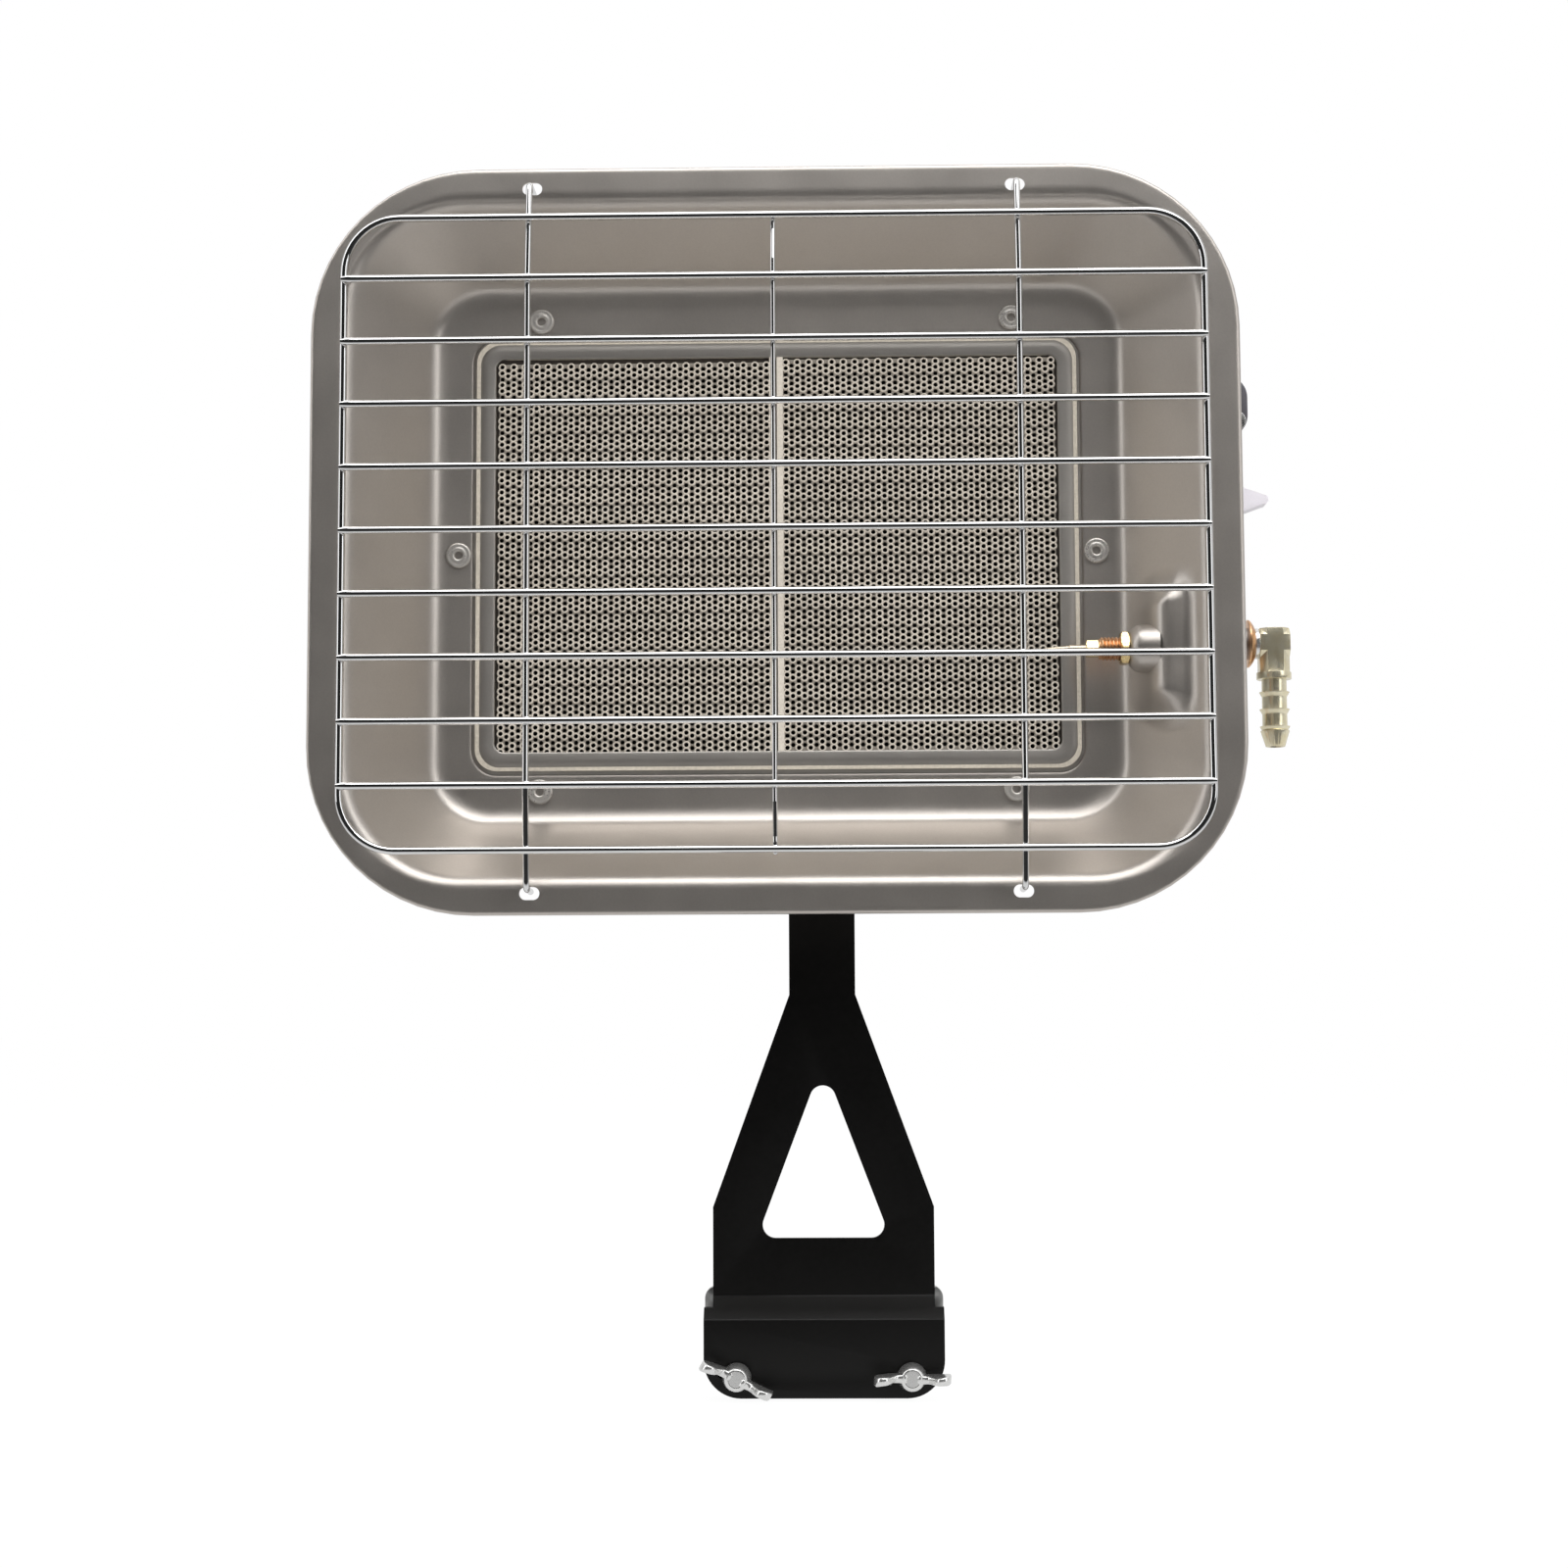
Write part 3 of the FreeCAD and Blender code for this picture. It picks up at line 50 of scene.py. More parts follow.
def placed(name, data):
    """A new object in the scene."""
    made = bpy.data.objects.new(name, data)
    bpy.context.scene.collection.objects.link(made)
    return made


turned = Matrix.Rotation(ROLL, 3, "Y") @ Matrix.Rotation(PITCH, 3, "X") @ Matrix.Rotation(YAW, 3, "Z")
eye = turned.transposed()
lens = bpy.data.cameras.new("camera")
lens.lens = LENS
lens.sensor_width = FILM
lens.clip_start = 0.05
lens.clip_end = 50.0
camera = placed("camera", lens)
facing = Matrix((eye.col[0], eye.col[2], -eye.col[1])).transposed()
camera.matrix_world = Matrix.Translation((HEAD - eye @ HEAD_SEEN) * MM) @ facing.to_4x4()
bpy.context.scene.camera = camera
bpy.context.scene.view_settings.view_transform = "Standard"


# Studio: a white floor just under the clamp, a white room and three soft lamps. In the steel, the room is
# dark straight ahead and has a bright ring round that, so flat sheet reads grey and wires have a black core.
def wired(tree, kind, inputs=None, **settings):
    """A node with these settings. An input takes a number, a colour or another node's output."""
    made = tree.nodes.new(kind)
    for name, value in settings.items():
        setattr(made, name, value)
    for name, value in (inputs or {}).items():
        if isinstance(value, bpy.types.NodeSocket):
            tree.links.new(value, made.inputs[name])
        else:
            made.inputs[name].default_value = value
    return made


def sums(tree, operation, *terms):
    """One step of arithmetic on numbers and other nodes' outputs."""
    return wired(tree, "ShaderNodeMath", dict(enumerate(terms)), operation=operation).outputs["Value"]


def remapped(tree, value, from_min, from_max, to_min=0.0, to_max=1.0):
    return wired(tree, "ShaderNodeMapRange", {"Value": value, "From Min": from_min, "From Max": from_max,
                                              "To Min": to_min, "To Max": to_max}).outputs["Result"]


def shader_mix(tree, share, first, second):
    return wired(tree, "ShaderNodeMixShader", {"Fac": share, 1: first, 2: second}).outputs["Shader"]


DARK_WAY = (-0.220, -0.968, 0.120)
ROOM_GREYS = ((0.0, 0.38), (0.40, 0.28), (0.54, 0.22), (0.66, 0.42), (0.715, 1.0), (0.785, 1.0),
              (0.815, 0.02), (1.0, 0.01))
world = bpy.data.worlds.new("white_room")
world.use_nodes = True
bpy.context.scene.world = world
room = world.node_tree
room.nodes.clear()
path = room.nodes.new("ShaderNodeLightPath").outputs
way = room.nodes.new("ShaderNodeTexCoord").outputs["Generated"]
ahead = wired(room, "ShaderNodeVectorMath", {0: way, 1: DARK_WAY}, operation="DOT_PRODUCT").outputs["Value"]
ramp = wired(room, "ShaderNodeValToRGB", {"Fac": remapped(room, ahead, -1.0, 1.0)})
ramp.color_ramp.interpolation = "EASE"
steps = ramp.color_ramp.elements
for k, (at, grey) in enumerate(ROOM_GREYS):
    step = steps[k] if k < 2 else steps.new(at)
    step.position = at
    step.color = (grey, grey, grey, 1.0)
height = wired(room, "ShaderNodeSeparateXYZ", {"Vector": way}).outputs["Z"]
overhead = remapped(room, height, 0.35, 0.90, 2.0, 3.4)
mirrored = wired(room, "ShaderNodeBackground", {"Color": ramp.outputs["Color"], "Strength": overhead})
soft = wired(room, "ShaderNodeBackground", {"Color": (1.0, 0.99, 0.975, 1.0), "Strength": 0.5})
seen = wired(room, "ShaderNodeBackground", {"Color": (1.0, 1.0, 1.0, 1.0)})
unseen = shader_mix(room, path["Is Glossy Ray"], soft.outputs["Background"], mirrored.outputs["Background"])
in_view = sums(room, "MAXIMUM", path["Is Camera Ray"], path["Is Transmission Ray"])
surround = shader_mix(room, in_view, unseen, seen.outputs["Background"])
wired(room, "ShaderNodeOutputWorld", {"Surface": surround})

FLOOR_Z = -17.2
FLOOR_REACH = 12.0
corners = [(x * FLOOR_REACH, y * FLOOR_REACH, FLOOR_Z * MM) for x, y in ((-1, -1), (1, -1), (1, 1), (-1, 1))]
floor_mesh = bpy.data.meshes.new("floor")
floor_mesh.from_pydata(corners, [], [(0, 1, 2, 3)])
floor = placed("floor", floor_mesh)
paper = bpy.data.materials.new("white_paper")
paper.use_nodes = True
leaf = paper.node_tree
sheet = leaf.nodes["Principled BSDF"]
sheet.inputs["Base Color"].default_value = (0.88, 0.88, 0.88, 1.0)
sheet.inputs["Roughness"].default_value = 0.9
sheet.inputs["Specular IOR Level"].default_value = 0.1
rays = leaf.nodes.new("ShaderNodeLightPath").outputs
in_view = sums(leaf, "MAXIMUM", rays["Is Camera Ray"], rays["Is Transmission Ray"])
share = sums(leaf, "MULTIPLY", in_view, 0.9)
glow = wired(leaf, "ShaderNodeEmission", {"Strength": 1.06})
blend = shader_mix(leaf, share, sheet.outputs["BSDF"], glow.outputs["Emission"])
# In the steel, the paper is bright behind the heater and falls to dark in front of it.
spot_at = leaf.nodes.new("ShaderNodeNewGeometry").outputs["Position"]
depth = wired(leaf, "ShaderNodeSeparateXYZ", {"Vector": spot_at}).outputs["Y"]
in_steel = wired(leaf, "ShaderNodeEmission", {"Strength": remapped(leaf, depth, -0.38, -0.18, 0.03, 0.75)})
surface = shader_mix(leaf, rays["Is Glossy Ray"], blend, in_steel.outputs["Emission"])
leaf.links.new(surface, leaf.nodes["Material Output"].inputs["Surface"])
floor_mesh.materials.append(paper)


def lamp(name, place, aim, size, power, in_steel_too):
    """A round soft lamp aimed at a point, mirrored by the steel or not."""
    light = bpy.data.lights.new(name, "AREA")
    light.shape = "DISK"
    light.size = size
    light.energy = power
    holder = placed(name, light)
    holder.location = place
    holder.visible_glossy = in_steel_too
    holder.rotation_mode = "QUATERNION"
    holder.rotation_quaternion = (Vector(aim) - Vector(place)).to_track_quat("-Z", "Y")


lamp("lamp_above", (0.1, -0.9, 1.6), (0, 0, 0.2), 1.4, 11.0, True)
lamp("lamp_left", (-1.3, -1.0, 0.5), (0, 0, 0.22), 0.9, 7.0, False)
lamp("lamp_right", (1.3, -1.0, 0.5), (0, 0, 0.22), 0.9, 12.0, False)


# Reflector pan: one deep-drawn sheet of satin stainless steel 0.8 mm thick, with a rolled skirt, a flat
# flange, sloping walls and a floor cut open for the burner. The grain of the sheet shows as fine speckle.
STEEL = (0.58, 0.54, 0.50)
PAN_SHEET = 0.8
PROBE_Y, PROBE_Z = 14.5, -34.0
POCKET_LEFT, POCKET_HALF = 112.5, 23.5
SLOT_X, SLOT_Z, SLOT_HALF_WIDE, SLOT_HALF_HIGH = 75.0, 109.7, 3.1, 2.0
SLOT_CUT, SLOT_STEPS = (-4.0, 3.2), 24


def finish(name, colour, metallic, roughness, grain=2400.0, mottle=0.06, relief=0.00002, bump=0.25,
           spread=0.05, tint=None):
    """A surface whose grain, tone and gloss vary a little from place to place."""
    made = bpy.data.materials.new(name)
    made.use_nodes = True
    tree = made.node_tree
    skin = tree.nodes["Principled BSDF"]
    skin.inputs["Metallic"].default_value = metallic
    place = tree.nodes.new("ShaderNodeTexCoord").outputs["Object"]
    fine = wired(tree, "ShaderNodeTexNoise", {"Vector": place, "Scale": grain, "Detail": 3.0}).outputs["Fac"]
    wide = {"Vector": place, "Scale": grain / 30.0, "Detail": 4.0}
    broad = wired(tree, "ShaderNodeTexNoise", wide).outputs["Fac"]
    both = {"Factor": 0.45, "A": fine, "B": broad}
    grainy = wired(tree, "ShaderNodeMix", both, data_type="FLOAT").outputs["Result"]
    tone = wired(tree, "ShaderNodeValToRGB", {"Fac": grainy})
    low, high = tone.color_ramp.elements
    low.position, high.position = 0.32, 0.68
    low.color = (*[v * (1 - mottle) for v in colour], 1.0)
    high.color = (*[min(1.0, v * (1 + mottle)) for v in (tint or colour)], 1.0)
    tree.links.new(tone.outputs["Color"], skin.inputs["Base Color"])
    gloss = remapped(tree, grainy, 0.3, 0.7, roughness - spread, roughness + spread)
    tree.links.new(gloss, skin.inputs["Roughness"])
    raised = wired(tree, "ShaderNodeBump", {"Strength": bump, "Distance": relief, "Height": fine})
    tree.links.new(raised.outputs["Normal"], skin.inputs["Normal"])
    return made


def welded(name, points, faces, place=Vector((0, 0, 0))):
    """A mesh from points in millimetres, its doubled points merged and its faces turned outward."""
    mesh = bpy.data.meshes.new(name)
    mesh.from_pydata([tuple((Vector(p) + place) * MM) for p in points], [], faces)
    shell = bmesh.new()
    shell.from_mesh(mesh)
    bmesh.ops.remove_doubles(shell, verts=shell.verts, dist=1e-7)
    bmesh.ops.dissolve_degenerate(shell, edges=shell.edges, dist=1e-7)
    bmesh.ops.recalc_face_normals(shell, faces=shell.faces)
    shell.to_mesh(mesh)
    shell.free()
    return mesh


def dress(name, mesh, material, body, slot, *stands_for, sharp=35.0):
    """Gives a mesh its material and its body, and hides the nodes that it stands for. The slot is not used.
    """
    mesh.shade_smooth()
    mesh.set_sharp_from_angle(angle=math.radians(sharp))
    mesh.materials.clear()
    mesh.materials.append(material)
    piece = placed(name, mesh)
    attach(piece, body)
    if stands_for:
        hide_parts(*stands_for)
    return piece


def settled(holder, name):
    """The mesh of an object with its modifiers worked in. The object itself is taken away."""
    graph = bpy.context.evaluated_depsgraph_get()
    mesh = bpy.data.meshes.new_from_object(holder.evaluated_get(graph), depsgraph=graph)
    bpy.data.objects.remove(holder)
    mesh.name = name
    return mesh


def banded(rings, around, closed=False, turned_in=True):
    """Quads between rings of points, with this many points round each ring."""
    faces = []
    for k in range(rings if closed else rings - 1):
        a, b = k * around, ((k + 1) % rings) * around
        for j in range(around):
            m = (j + 1) % around
            faces.append((a + j, a + m, b + m, b + j) if turned_in else (a + j, b + j, b + m, a + m))
    return faces


def gathered(shapes):
    """Several shapes as one list of points and one of faces."""
    points, faces = [], []
    for more_points, more_faces in shapes:
        faces += [tuple(i + len(points) for i in face) for face in more_faces]
        points += more_points
    return points, faces


def rounded(enter, here, leave, count):
    """Points along a corner that is rounded from where a line enters it to where the line leaves."""
    turns = [k / count for k in range(count + 1)]
    return [enter * (1 - t) ** 2 + here * 2 * t * (1 - t) + leave * t * t for t in turns]


def curved(p0, p1, p2, p3, t):
    """A share of the smooth way from the second of four values to the third."""
    return 0.5 * (2 * p1 + (p2 - p0) * t + (2 * p0 - 5 * p1 + 4 * p2 - p3) * t * t
                  + (3 * p1 - p0 - 3 * p2 + p3) * t ** 3)


CORNERS = ((1, 1), (-1, 1), (-1, -1), (1, -1))
EVEN_STOPS = (0.2, 0.4, 0.6, 0.8)


def outline(half_wide, half_high, corner, y, side_stops, corner_steps=14):
    """A loop round a pressed rectangle, counterclockwise from the lower right. The stops are on that side."""
    wide, high = half_wide - corner, half_high - corner
    sides = [[(half_wide, y, -high + 2 * high * t) for t in side_stops],
             [(wide - 2 * wide * t, y, half_high) for t in EVEN_STOPS],
             [(-half_wide, y, high - 2 * high * t) for t in EVEN_STOPS],
             [(-wide + 2 * wide * t, y, -half_high) for t in EVEN_STOPS]]
    loop = []
    for quarter, (sx, sz) in enumerate(CORNERS):
        loop += sides[quarter]
        for k in range(corner_steps + 1):
            a = math.radians(90 * quarter + 90.0 * k / corner_steps)
            loop.append((sx * wide + corner * math.cos(a), y, sz * high + corner * math.sin(a)))
    return loop


def pressed(levels, side_stops=EVEN_STOPS):
    """A sheet drawn through these outlines, each (half width, half height, corner, depth)."""
    loops = [outline(*level, side_stops) for level in levels]
    return [p for loop in loops for p in loop], banded(len(loops), len(loops[0]))


def eased_path(corners, steps):
    """Runs a line through these corners, each rounded from the share of its two runs given with it."""
    line = []
    for k, (at, before, after, count) in enumerate(corners):
        here = Vector(at)
        if k in (0, len(corners) - 1):
            line.append(here)
            continue
        enter = here + (Vector(corners[k - 1][0]) - here) * before
        leave = here + (Vector(corners[k + 1][0]) - here) * after
        line += rounded(enter, here, leave, count)
    full = [line[0]]
    for point in line[1:]:
        gap = point - full[-1]
        parts = max(1, math.ceil(max(abs(gap[0]), abs(gap[3])) / steps))
        full += [full[-1] + gap * (i / parts) for i in range(1, parts)] + [point]
    return full


# Each corner of the section: half width, half height, corner radius and depth, then the shares of the two
# runs beside it that its bend takes up, and the number of steps in the bend.
front = [((143.6, 116.1, 51.6, 4.0), 0, 0, 1), ((144.0, 116.5, 52.0, 0.0), 0.45, 0.16, 6),
         ((132.5, 105.8, 36.0, 0.0), 0.3, 0.09, 8), ((109.0, 84.8, 18.0, 31.5), 0.1, 0.38, 8),
         ((97.5, 70.8, 8.3, 31.5), 0.06, 0.5, 3), ((97.4, 70.7, 8.2, 32.3), 0, 0, 1)]
levels = [tuple(p) for p in eased_path(front, 0.8)]
# The stops up the right side are close together where the pocket is pressed into the wall.
stops = [0.03] + [0.05 + 0.006 * k for k in range(68)] + [0.5, 0.62, 0.75, 0.88]
pan_points, pan_faces = pressed(levels, stops)
POCKET_LINE = ((110.6, 29.36), (112.6, 26.0), (114.2, 19.6), (115.4, 14.2), (116.8, 10.4), (118.4, 8.3),
               (120.2, 7.1), (122.0, 6.6), (124.2, 6.5), (126.4, 6.35), (127.8, 5.7), (129.2, 4.5),
               (131.0, 2.01), (131.6, 1.21))
WALL_TOP, WALL_FOOT, WALL_DEEP = 132.5, 109.0, 31.5
POCKET_EDGE, POCKET_FADE, POCKET_MIDDLE, POCKET_OVAL = 3.0, 13.0, 124.0, 0.045


def with_pocket(point):
    """Pulls the right wall forward to the pocket's line, fading out at both of the pocket's round ends."""
    x, y, z = point
    away = abs(z - PROBE_Z)
    if not POCKET_LINE[0][0] < x < POCKET_LINE[-1][0] or y < 0.05 or away > POCKET_HALF + POCKET_EDGE:
        return point
    k = next(i for i in range(1, len(POCKET_LINE)) if x <= POCKET_LINE[i][0])
    lifts = [WALL_DEEP * (WALL_TOP - px) / (WALL_TOP - WALL_FOOT) - py for px, py in POCKET_LINE]
    t = (x - POCKET_LINE[k - 1][0]) / (POCKET_LINE[k][0] - POCKET_LINE[k - 1][0])
    lift = curved(lifts[max(k - 2, 0)], lifts[k - 1], lifts[k], lifts[min(k + 1, len(lifts) - 1)], t)
    oval = POCKET_OVAL * (x - POCKET_MIDDLE) ** 2 * min(1.0, max(0.0, (away - 2.0) / 16.0))
    fade = min(1.0, max(0.0, (POCKET_HALF + POCKET_EDGE - away - oval) / POCKET_FADE))
    return (x, y - lift * fade * fade * (3 - 2 * fade), z)


steel_sheet = finish("satin_stainless", STEEL, 0.87, 0.36, grain=1700.0, mottle=0.05, relief=0.00003,
                     bump=0.3)
drawn = placed("pan_sheet", welded("pan_sheet", [with_pocket(p) for p in pan_points], pan_faces, HEAD))
slot_line = []
for k in range(SLOT_STEPS):
    a = 2 * math.pi * (k + 0.5) / SLOT_STEPS
    u = SLOT_HALF_HIGH * math.cos(a) + math.copysign(SLOT_HALF_WIDE - SLOT_HALF_HIGH, math.cos(a))
    slot_line.append((u, SLOT_HALF_HIGH * math.sin(a)))
slot_faces = [tuple(range(SLOT_STEPS)), tuple(reversed(range(SLOT_STEPS, 2 * SLOT_STEPS)))]
slot_faces += banded(2, SLOT_STEPS, turned_in=False)
slots = gathered(([(SLOT_X * sx + u, y, SLOT_Z * sz + w) for y in SLOT_CUT for u, w in slot_line], slot_faces)
                 for sx, sz in CORNERS)
punch = placed("slot_punch", welded("slot_punch", *slots, HEAD))
wall = drawn.modifiers.new("sheet", "SOLIDIFY")
wall.thickness = PAN_SHEET * MM
wall.offset = -1.0
punched = drawn.modifiers.new("slots", "BOOLEAN")
punched.operation = "DIFFERENCE"
punched.solver = "EXACT"
punched.object = punch
pan_mesh = settled(drawn, "reflector_pan_drawn")
bpy.data.objects.remove(punch)
dress("reflector_pan_drawn", pan_mesh, steel_sheet, "head", "satin_steel", "reflector_pan")


# Boss on the pocket's steep side, drawn out of the same sheet, where the thermocouple's nut seats. Its
# shoulder is rounded and its flat top has a hole for the thread.
def build(name, points, faces, material, body, slot, *stands_for, sharp=35.0):
    """A finished piece in place of its nodes. The head's pieces are drawn about the middle of the head."""
    place = HEAD if body == "head" else Vector((0, 0, 0))
    return dress(name, welded(name, points, faces, place), material, body, slot, *stands_for, sharp=sharp)


def spun(profile, around=48, closed=False):
    """A turned shape about +X from (axial, radius) pairs; a radius of nought closes the end."""
    points = []
    for along, radius in profile:
        for k in range(around):
            a = 2 * math.pi * k / around
            points.append((along, radius * math.cos(a), radius * math.sin(a)))
    return points, banded(len(profile), around, closed, turned_in=False)


def moved(points, centre, axis="X"):
    """Carries points made about +X to an axis through a centre."""
    turned = {"X": lambda p: p, "-X": lambda p: (-p[0], -p[1], p[2]),
              "Y": lambda p: (p[1], p[0], p[2]), "Z": lambda p: (p[1], p[2], p[0])}
    return [tuple(Vector(turned[axis](p)) + Vector(centre)) for p in points]


boss_profile = [(-6.0, 7.5), (-1.0, 7.5), (0.2, 7.35), (0.9, 7.0), (1.6, 6.5), (2.2, 6.0), (2.75, 5.2),
                (3.0, 4.5), (3.0, 3.8), (2.2, 3.8)]
boss_points, boss_faces = spun(boss_profile)
boss_points = moved(boss_points, (POCKET_LEFT, PROBE_Y, PROBE_Z), "-X")
build("pocket_boss", boss_points, boss_faces, steel_sheet, "head", "satin_steel")


# Burner frame: a sheet steel rim with a rolled bead. It stands up through the pan's opening and its lip
# holds the two ceramic plaques by their edges.
RIM_SHEET = 0.5
lip = [((107.8, 82.0, 18.0, 32.4), 0, 0, 1), ((97.0, 70.4, 8.0, 32.35), 0.08, 0.4, 4),
       ((94.0, 67.4, 6.0, 29.65), 0.5, 0.45, 6), ((90.0, 63.5, 3.2, 29.85), 0.15, 0.3, 3),
       ((90.0, 63.5, 3.2, 31.4), 0, 0, 1)]
rim_points, rim_faces = pressed([tuple(p) for p in eased_path(lip, 2.0)])
steel_rim = finish("burner_rim_steel", (0.47, 0.445, 0.415), 0.88, 0.50, grain=1700.0, mottle=0.05,
                   relief=0.00003, bump=0.3)
rim = build("burner_frame_pressed", rim_points, rim_faces, steel_rim, "head", "satin_steel", "burner_frame")
rim_wall = rim.modifiers.new("sheet", "SOLIDIFY")
rim_wall.thickness = RIM_SHEET * MM
rim_wall.offset = -1.0


# Ceramic plaques: two slabs of cordierite pierced with thousands of fine holes. Rings stand proud round
# two holes of every three, so that the sunk ones between them glow hotter.
COLUMNS, ROWS = 47, 65
COLUMN_PITCH, ROW_PITCH = 1.8457, 1.943
HOLE, RING_CREST, RING_FOOT = 0.72, 1.02, 1.40
RING_TOP, SUNK, HOLE_DEPTH = 30.0, 30.95, 33.6
plaque_clay = finish("cordierite", (0.60, 0.545, 0.47), 0.0, 0.82, grain=1500.0, mottle=0.07, relief=0.00004,
                     bump=0.3, tint=(0.67, 0.615, 0.54))
clay = plaque_clay.node_tree
clay_skin = clay.nodes["Principled BSDF"]
crest_tone = clay_skin.inputs["Base Color"].links[0].from_socket
clay_place = clay.nodes.new("ShaderNodeTexCoord").outputs["Object"]
clay_depth = wired(clay, "ShaderNodeSeparateXYZ", {"Vector": clay_place}).outputs["Y"]
# Painted shade: the clay's colour falls to near black with depth, from 0.5 mm under the rings' crests to 0.35
# mm past the sunk face. The hole walls, the sunk faces (about half) and the margin read as shaded.
painted_shade_share = remapped(clay, clay_depth, (HEAD.y + RING_TOP + 0.50) * MM, (HEAD.y + SUNK + 0.35) * MM)
painted_shade_inputs = {"Factor": painted_shade_share, "A": crest_tone, "B": (0.030, 0.024, 0.019, 1.0)}
painted_shade_mix = wired(clay, "ShaderNodeMix", painted_shade_inputs, data_type="RGBA")
clay.links.new(painted_shade_mix.outputs["Result"], clay_skin.inputs["Base Color"])
# Painted shadow: a near-black finish for the sheet that closes the holes' far ends, standing in for the shade
# behind the plaques.
painted_hole_shadow = finish("hole_painted_shadow", (0.010, 0.008, 0.006), 0.0, 0.95, grain=1500.0, mottle=0.3, relief=0.00004)


def ceramic_cells():
    """A small tile with an eight-sided hole, and the ring that stands on two tiles of three."""
    tile = bmesh.new()
    half_x, half_z = COLUMN_PITCH / 2, ROW_PITCH / 2
    rim_loop, deep_loop = [], []
    for k in range(8):
        a = math.radians(22.5 + 45 * k)
        x, z = HOLE * math.cos(a) * MM, HOLE * math.sin(a) * MM
        rim_loop.append(tile.verts.new((x, 0, z)))
        deep_loop.append(tile.verts.new((x, (HOLE_DEPTH - SUNK) * MM, z)))
    corners = [tile.verts.new((sx * half_x * MM, 0, sz * half_z * MM)) for sx, sz in CORNERS]
    for k in range(4):
        a, b = corners[k], corners[(k + 1) % 4]
        first, second = rim_loop[(2 * k) % 8], rim_loop[(2 * k + 1) % 8]
        third = rim_loop[(2 * k + 2) % 8]
        tile.faces.new((a, first, second))
        tile.faces.new((a, second, b))
        tile.faces.new((b, second, third))
    for k in range(8):
        m = (k + 1) % 8
        tile.faces.new((rim_loop[k], rim_loop[m], deep_loop[m], deep_loop[k]))
    ring = bmesh.new()
    loops = []
    steps = ((HOLE, SUNK + 0.05), (HOLE + 0.06, RING_TOP), (RING_CREST, RING_TOP), (RING_FOOT, SUNK))
    for radius, depth in steps:
        y = (depth - SUNK) * MM
        angles = [2 * math.pi * k / 10 for k in range(10)]
        flat = [(radius * math.cos(a) * MM, radius * math.sin(a) * MM) for a in angles]
        loops.append([ring.verts.new((x, y, z)) for x, z in flat])
    for inner, outer in zip(loops, loops[1:]):
        for k in range(10):
            m = (k + 1) % 10
            ring.faces.new((inner[k], inner[m], outer[m], outer[k]))
    made = []
    for label, cell in (("tile_cell", tile), ("ring_cell", ring)):
        mesh = bpy.data.meshes.new(label)
        cell.to_mesh(mesh)
        cell.free()
        mesh.shade_smooth()
        mesh.set_sharp_from_angle(angle=math.radians(55))
        made.append(placed(label, mesh))
    return made


def node_group(name, sizes):
    """An empty Geometry Nodes tree with these named sizes as its inputs."""
    tree = bpy.data.node_groups.new(name, "GeometryNodeTree")
    tree.interface.new_socket("Geometry", in_out="OUTPUT", socket_type="NodeSocketGeometry")
    for label, value in sizes.items():
        kind = "NodeSocketInt" if isinstance(value, int) else "NodeSocketFloat"
        tree.interface.new_socket(label, in_out="INPUT", socket_type=kind).default_value = value
    return tree, tree.nodes.new("NodeGroupInput"), tree.nodes.new("NodeGroupOutput")


def realised(tree, geometry, material, result):
    """Ends a tree with its instances made real, in one material."""
    solid = wired(tree, "GeometryNodeRealizeInstances", {"Geometry": geometry}).outputs["Geometry"]
    coated = wired(tree, "GeometryNodeSetMaterial", {"Geometry": solid, "Material": material})
    tree.links.new(coated.outputs["Geometry"], result.inputs["Geometry"])


def grown(tree, name, sizes):
    """Runs a tree on a bare object with these sizes and gives back its plain mesh."""
    bare = placed(name, bpy.data.meshes.new(name))
    growth = bare.modifiers.new("grow", "NODES")
    growth.node_group = tree
    for item in tree.interface.items_tree:
        if item.in_out == "INPUT" and item.name in sizes:
            growth[item.identifier] = sizes[item.name]
    return settled(bare, name)


tile_cell, ring_cell = ceramic_cells()
plaque_sizes = {"Columns": COLUMNS, "Rows": ROWS, "Column pitch": COLUMN_PITCH * MM,
                "Row pitch": ROW_PITCH * MM, "First column": 0.0, "Top row": 0.0, "Depth": SUNK * MM}
tree, given, result = node_group("pierced_plaque", plaque_sizes)
size = given.outputs
index = tree.nodes.new("GeometryNodeInputIndex").outputs["Index"]
column = sums(tree, "FLOOR", sums(tree, "DIVIDE", sums(tree, "ADD", index, 0.5), size["Rows"]))
row = sums(tree, "SUBTRACT", index, sums(tree, "MULTIPLY", column, size["Rows"]))
odd = sums(tree, "MODULO", column, 2.0)
across = sums(tree, "MULTIPLY_ADD", column, size["Column pitch"], size["First column"])
fall = sums(tree, "MULTIPLY", sums(tree, "MULTIPLY_ADD", odd, 0.5, row), size["Row pitch"])
spot = {"X": across, "Y": size["Depth"], "Z": sums(tree, "SUBTRACT", size["Top row"], fall)}
spots = {"Count": sums(tree, "MULTIPLY", size["Columns"], size["Rows"]),
         "Position": wired(tree, "ShaderNodeCombineXYZ", spot).outputs["Vector"]}
holes = wired(tree, "GeometryNodePoints", spots).outputs["Points"]
third_row = sums(tree, "MODULO", row, 3.0)
even_ring = sums(tree, "MULTIPLY", sums(tree, "LESS_THAN", third_row, 1.5), sums(tree, "SUBTRACT", 1.0, odd))
odd_ring = sums(tree, "MULTIPLY", sums(tree, "COMPARE", third_row, 1.0, 0.1), odd)
ringed = sums(tree, "GREATER_THAN", sums(tree, "ADD", even_ring, odd_ring), 0.5)
short = sums(tree, "LESS_THAN", sums(tree, "ADD", row, odd), sums(tree, "SUBTRACT", size["Rows"], 0.5))
laid = tree.nodes.new("GeometryNodeJoinGeometry")
